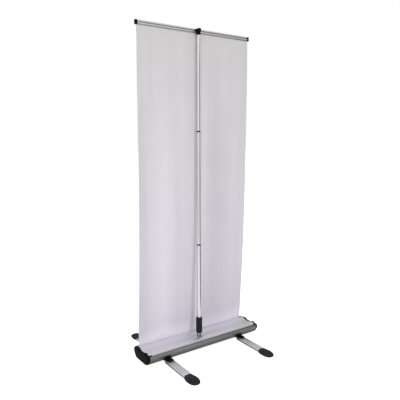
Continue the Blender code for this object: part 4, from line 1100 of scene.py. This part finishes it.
def footBracket(name, side, place, centre):
    # a rounded plate under the hull, the boss round the bolt and two rivet heads, each a quarter ellipse
    d = footShape
    rings = plateRings(d["bracketHalf"], d["bracketReach"], -side, d["bracketLow"], d["bracketHigh"],
                       d["bracketRound"], place)
    parts = [loftPiece("plate", rings, finishes["zinc"], crisp["moulding"])]
    top, bottom = d["bracketLow"] + d["gap"], d["barHigh"] + d["gap"]
    boss = [(0.0, top), (d["bossRadius"], top), (d["bossRadius"] - d["bossTaper"], bottom), (0.0, bottom)]
    parts.append(turnedPiece("boss", boss, centre, finishes["zinc"], segments=48, loop=False))
    turn, sunk = quarterTurn(d["rivetSteps"]), d["bracketLow"] + d["rivetSink"]
    head = np.stack([d["rivetRadius"] * np.cos(turn),
                     d["bracketLow"] - d["rivetRise"] * np.sin(turn)], axis=-1)
    head = np.concatenate([[(0.0, sunk), (d["rivetRadius"], sunk)], head[:-1],
                           [(0.0, d["bracketLow"] - d["rivetRise"])]])
    for reach in d["rivets"]:
        where = (place[0], place[1] - side * reach, 0.0)
        parts.append(turnedPiece("rivet", head, where, finishes["zinc"], segments=24, loop=False))
    return joined(name, parts)


def makeFeet():
    # four times bar, tip, bracket, bolt and cap, at (+-pivotX, +-pivotY)
    d = footShape
    boltProfile, capProfile = footPivot()
    for side, row in ((-1, "front"), (1, "rear")):
        for end, hand in ((-1, "left"), (1, "right")):
            foot, body = f"{row}_{hand}", f"foot_{row}_{hand}_body"
            place = np.array([end * d["pivotX"], side * d["pivotY"]])
            centre = (place[0], place[1], 0.0)
            rings = plateRings(d["barHalf"], d["barReach"], side, d["barLow"], d["barHigh"],
                               d["barRound"], place)
            bar = loftPiece(f"footBar_{foot}", rings, finishes["profileAlongY"], crisp["moulding"])
            hole = (np.array(drum) + (0.0, 1.0)) * (d["boltHole"], d["cutDeep"])
            carve(bar, turnedPiece("cutter", hole, centre, None, segments=40, loop=False))
            settle(closeUp(bar, crisp["moulding"]), body, "satin_aluminium", f"foot_bar_{foot}")
            tip = loftPiece(f"footTip_{foot}", tipRings(side, place), finishes["rubber"], crisp["tip"])
            settle(tip, body, "black_rubber", f"foot_tip_{foot}")
            bracket = footBracket(f"footBracket_{foot}", side, place, centre)
            settle(bracket, "base", "zinc_steel", f"foot_bracket_{foot}")
            bolt = turnedPiece(f"pivotBolt_{foot}", boltProfile, centre, finishes["zinc"], segments=40,
                               loop=False)
            settle(bolt, "base", "zinc_steel", f"pivot_bolt_{foot}")
            cap = turnedPiece(f"pivotCap_{foot}", capProfile, centre, finishes["moulding"], segments=72,
                              loop=False)
            settle(cap, "base", "black_moulding", f"pivot_cap_{foot}")


makeFeet()
print("four feet have bars, tips, brackets and pivots")


# Pole: spigot, ribbed sleeve, tubes, collars and connector.

poleShape = {"sleeveInner": 0.0164, "sleeveOuter": 0.0214, "ribs": 11, "ribSteps": 16, "ribDepth": 0.0012,
             "ribSharpness": 7, "ribEnd": 0.0022, "endTaper": 0.0008, "endTaperShare": 0.012,
             "sleeveEdge": 0.0004, "sleeveStep": 0.0024, "sleeveRim": 0.0032, "lipInner": 0.0129,
             "lip": 0.004, "spigot": 0.0160, "spigotTop": 0.004, "spigotRound": 0.0016, "shank": 0.010,
             "seatGap": 0.0003, "seatEdge": ((0.0, 0.0012), (0.0004, 0.0004), (0.0010, 0.0)),
             "stud": 0.0110, "studEdge": 0.001, "tubeWall": 0.0010, "tubeRim": 0.0003,
             "tubes": (("lower", "base", 0.0125), ("middle", "pole_middle_body", 0.0112),
                       ("upper", "pole_upper_body", 0.0099)),
             "collars": (("lower", "base", 0.0135, 0.0116), ("upper", "pole_middle_body", 0.0122, 0.0103)),
             "collarRound": 0.0014, "collarSharpness": 6, "collarGroove": (0.0004, 0.0006)}


def makeSleeve():
    # ribs: radius = outer - depth * |cos(ribs * pi * s)|^sharpness down the sleeve, drawn in at both ends
    d = poleShape
    low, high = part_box("flex_sleeve")
    bottom, top = low[2], high[2]
    s = np.linspace(0.0, 1.0, d["ribs"] * d["ribSteps"] + 1)
    wave = np.abs(np.cos(math.pi * d["ribs"] * s)) ** d["ribSharpness"]
    ribs = np.stack([d["sleeveOuter"] - d["ribDepth"] * wave,
                     top - d["ribEnd"] - (top - bottom - 2 * d["ribEnd"]) * s], axis=-1)
    ribs[:, 0] -= d["endTaper"] * (np.exp(-s / d["endTaperShare"]) + np.exp((s - 1.0) / d["endTaperShare"]))
    edge, step, rim = d["sleeveEdge"], d["sleeveOuter"] - d["sleeveStep"], d["sleeveOuter"] - d["sleeveRim"]
    profile = np.concatenate([
        [(d["sleeveInner"], bottom), (d["sleeveInner"], top - d["lip"]), (d["lipInner"], top - d["lip"]),
         (d["lipInner"], top - edge), (d["lipInner"] + edge, top), (rim, top), (step, top - edge)],
        ribs, [(step, bottom + edge), (rim, bottom)]])
    sleeve = turnedPiece("flexSleeve", profile, (0, 0, 0), finishes["rubber"], segments=96)
    settle(sleeve, "base", "black_rubber", "flex_sleeve")
    return bottom


def makeSpigot(sleeveBottom):
    # stud up inside the sleeve, a shoulder with a quarter round, and the shank down into the base
    d = poleShape
    low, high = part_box("pole_spigot")
    shoulder, seat = sleeveBottom + d["spigotTop"], baseShape["valleyZ"] + d["seatGap"]
    inset, down = quarterRound(d["spigotRound"], 6)
    profile = np.concatenate([
        [(0.0, high[2]), (d["stud"] - d["studEdge"], high[2]), (d["stud"], high[2] - d["studEdge"]),
         (d["stud"], shoulder)],
        np.stack([d["spigot"] - inset, shoulder - down], axis=-1)[::-1],
        [(d["spigot"] - inward, seat + up) for inward, up in d["seatEdge"]],
        [(d["shank"], seat), (d["shank"], low[2]), (0.0, low[2])]])
    spigot = turnedPiece("poleSpigot", profile, (0, 0, 0), finishes["polished"], segments=96, loop=False)
    settle(spigot, "base", "polished_steel", "pole_spigot")


def makeTubes():
    # plain tubes with broken edges; collar radius = radius - round * |cos a|^sharpness, less a fine groove
    d = poleShape
    for word, body, radius in d["tubes"]:
        low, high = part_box(f"pole_{word}")
        inner, rim = radius - d["tubeWall"], d["tubeRim"]
        profile = [(inner, low[2]), (inner, high[2]), (radius - rim, high[2]), (radius, high[2] - rim),
                   (radius, low[2] + rim), (radius - rim, low[2])]
        tube = turnedPiece(f"pole_{word}Tube", profile, (0, 0, 0), finishes["tubeAlongZ"], segments=80)
        settle(tube, body, "satin_aluminium", f"pole_{word}")
    for word, body, radius, inner in d["collars"]:
        low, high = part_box(f"collar_{word}")
        turn = math.pi * np.linspace(0.0, 1.0, 15)
        middle, half = (low[2] + high[2]) / 2, (high[2] - low[2]) / 2
        deep, wide = d["collarGroove"]
        bow = np.stack([radius - d["collarRound"] * np.abs(np.cos(turn)) ** d["collarSharpness"],
                        middle + half * np.cos(turn)], axis=-1)
        bow[:, 0] -= deep * np.exp(-((bow[:, 1] - middle) / wide) ** 2)
        profile = np.concatenate([[(inner, low[2]), (inner, high[2])], bow])
        collar = turnedPiece(f"collar_{word}Ring", profile, (0, 0, 0), finishes["moulding"], segments=80)
        settle(collar, body, "black_moulding", f"collar_{word}")


connector = {"bottomZ": 2.0763, "neckZ": 2.0886, "topZ": 2.1158, "face": 0.0177, "gap": 0.0045,
             "width": 0.019, "collar": 0.0116, "toothHigh": 2.1056, "toothLow": 2.1030,
             "toothDepth": 0.0020, "shankLow": 2.0483, "shank": 0.0086, "rounding": 0.0009,
             "stemRound": 0.0012, "stemEdge": 0.0005, "shoulder": (0.002, 0.006),
             "armFoot": (0.0010, 0.0090), "toothRamp": 0.0016, "tipCut": (0.0016, 0.0020),
             "crotchSide": 0.020, "crotch": 0.016,
             # how far each corner of the outline is drawn soft
             "soft": (0.0008, 0.0022, 0.0008, 0.0003, 0.0004, 0.0004, 0.0003, 0.0009, 0.0009, 0.0009,
                      0.0009, 0.0016, 0.0016)}


def makeConnector():
    # the prongs' outline from the side, its corners drawn soft, carried across X and bevelled,
    # on a turned stem
    e = connector
    tooth, (inward, down) = e["face"] + e["toothDepth"], e["tipCut"]
    half = np.array([
        (e["collar"] - e["shoulder"][0], e["neckZ"] - e["shoulder"][1]),
        (e["collar"] + e["armFoot"][0], e["toothLow"] - e["armFoot"][1]),
        (e["face"], e["toothLow"] - e["toothRamp"]), (e["face"], e["toothLow"]), (tooth, e["toothLow"]),
        (tooth, e["toothHigh"]), (e["face"], e["toothHigh"]), (e["face"], e["topZ"] - down),
        (e["face"] - inward, e["topZ"]), (e["gap"] + inward, e["topZ"]), (e["gap"], e["topZ"] - down),
        (e["gap"], e["neckZ"] + e["crotchSide"]), (0.0, e["neckZ"] + e["crotch"])])
    soft = np.array(e["soft"])
    outline = np.concatenate([half, half[-2::-1] * (-1.0, 1.0)])
    outline = softCorners(outline, np.concatenate([soft, soft[-2::-1]]), 4)
    head = extrudedPiece("prongs", outline, -e["width"] / 2, e["width"] / 2, finishes["moulding"])
    head = bevelled(head, e["rounding"], 3, 60.0)
    inset, down = quarterRound(e["stemRound"], 6)
    rim = np.stack([e["collar"] - inset, e["neckZ"] - down], axis=-1)
    profile = np.concatenate([[(0.0, e["shankLow"]), (e["shank"], e["shankLow"]), (e["shank"], e["bottomZ"]),
                               (e["collar"] - e["stemEdge"], e["bottomZ"]),
                               (e["collar"], e["bottomZ"] + e["stemEdge"])], rim, [(0.0, e["neckZ"])]])
    stem = turnedPiece("stem", profile, (0, 0, 0), finishes["moulding"], segments=80, loop=False)
    settle(joined("topConnector", [head, stem]), "pole_upper_body", "black_moulding", "top_connector")


makeSpigot(makeSleeve())
makeTubes()
makeConnector()
print("pole stands with its sleeve, collars and prongs")


# Rails and their caps.

railShape = {"height": 0.027, "depth": 0.012, "end": 0.435, "capLength": 0.0167, "gap": 0.0003,
             "grip": 0.0075, "gripSlot": 0.0014, "round": 0.0016, "chamfer": 0.0012, "grooveEdge": 0.0003,
             # grooves: middle below the top, height, depth
             "grooves": ((0.0236, 0.0022, 0.0022), (0.0118, 0.0060, 0.0048)), "filmEnd": 0.4255,
             "capRound": 0.0030, "capShrink": 0.8, "capGrow": 0.0002, "capEdge": 0.0003,
             "cutPast": (0.001, 0.002),
             # row, side that faces the pole, middle of the section
             "rows": (("rear", 1, 0.024, 2.1035), ("front", -1, -0.0863, 0.0680))}


def railOutline(side, grooves, grow=0.0):
    # section about its own middle: chamfered foot with the film's slot, two grooves facing the pole,
    # and quarter rounds at the top
    d = railShape
    deep, tall, slot = d["depth"] / 2, d["height"] / 2, d["gripSlot"] / 2
    chamfer, edge = d["chamfer"], d["grooveEdge"]
    parts = [[(slot, -tall - grow)]]
    if grooves:
        parts.append([(slot, -tall + d["grip"]), (-slot, -tall + d["grip"]), (-slot, -tall)])
    parts.append([(-deep + chamfer, -tall - grow), (-deep - grow, -tall + chamfer)])
    if grooves:
        for down, high, cut in d["grooves"]:
            low, top = tall - down - high / 2, tall - down + high / 2
            parts.append([(-deep, low - edge), (-deep + edge, low), (-deep + cut, low), (-deep + cut, top),
                          (-deep + edge, top), (-deep, top + edge)])
    inset, down = quarterRound(d["round"], 10)
    across, level = deep + grow - inset, tall + grow - down
    parts += [np.stack([-across, level], axis=-1), np.stack([across, level], axis=-1)[::-1],
              [(deep + grow, -tall + chamfer), (deep - chamfer, -tall - grow)]]
    return np.concatenate([np.asarray(part, float) for part in parts]) * (side, 1.0)


def makeRails():
    # rails carried along X; caps keep the outline, then draw it in by a quarter cosine
    d = railShape
    capStart = d["end"] - d["capLength"]
    metalEnd, (inside, below) = capStart - d["gap"], d["cutPast"]
    drawn, back = quarterRound(d["capRound"], 8)
    place = np.concatenate([[capStart, capStart + d["capEdge"]], d["end"] - back])
    inset = np.concatenate([[d["capEdge"], 0.0], d["capShrink"] * drawn])
    shrink = np.stack([1 - inset / (d["depth"] / 2), 1 - inset / (d["height"] / 2)], axis=-1)
    for row, side, middleY, middleZ in d["rows"]:
        body, middle = f"{row}_rail_body", np.array([middleY, middleZ])
        rail = extrudedPiece(f"{row}Rail", railOutline(side, True) + middle, -metalEnd, metalEnd,
                             finishes["railAlongX"], crisp["profile"])
        settle(rail, body, "satin_aluminium", f"{row}_rail")
        stations = middle + railOutline(side, False, d["capGrow"]) * shrink[:, None, :]
        foot, slot = middleZ - d["height"] / 2, d["gripSlot"] / 2
        for end, hand in ((-1, "left"), (1, "right")):
            cap = loftPiece(f"{row}RailCap_{hand}", ringsAlongX(end * place, stations), finishes["moulding"],
                            crisp["moulding"])
            carve(cap, blockPiece((end * (metalEnd - inside), middleY - slot, foot - below),
                                  (end * d["filmEnd"], middleY + slot, foot + d["grip"])))
            settle(closeUp(cap, crisp["moulding"]), body, "black_moulding", f"{row}_rail_cap_{hand}")


makeRails()
print("both rails have their grooves and caps")


# Finishes for the nodes that stay.

dress("moulding", "pole_socket", "tube_plug")
dress("spring", "flex_spring")
for row in ("rear", "front"):
    dress("rollerTube", f"{row}_roller_tube")
    dress("zinc", f"{row}_idle_axle", f"{row}_spring_axle")
    dress("spring", f"{row}_roller_spring")
    dress("moulding", f"{row}_roller_plug_left", f"{row}_roller_plug_right")
print("every node that stays has its finish")
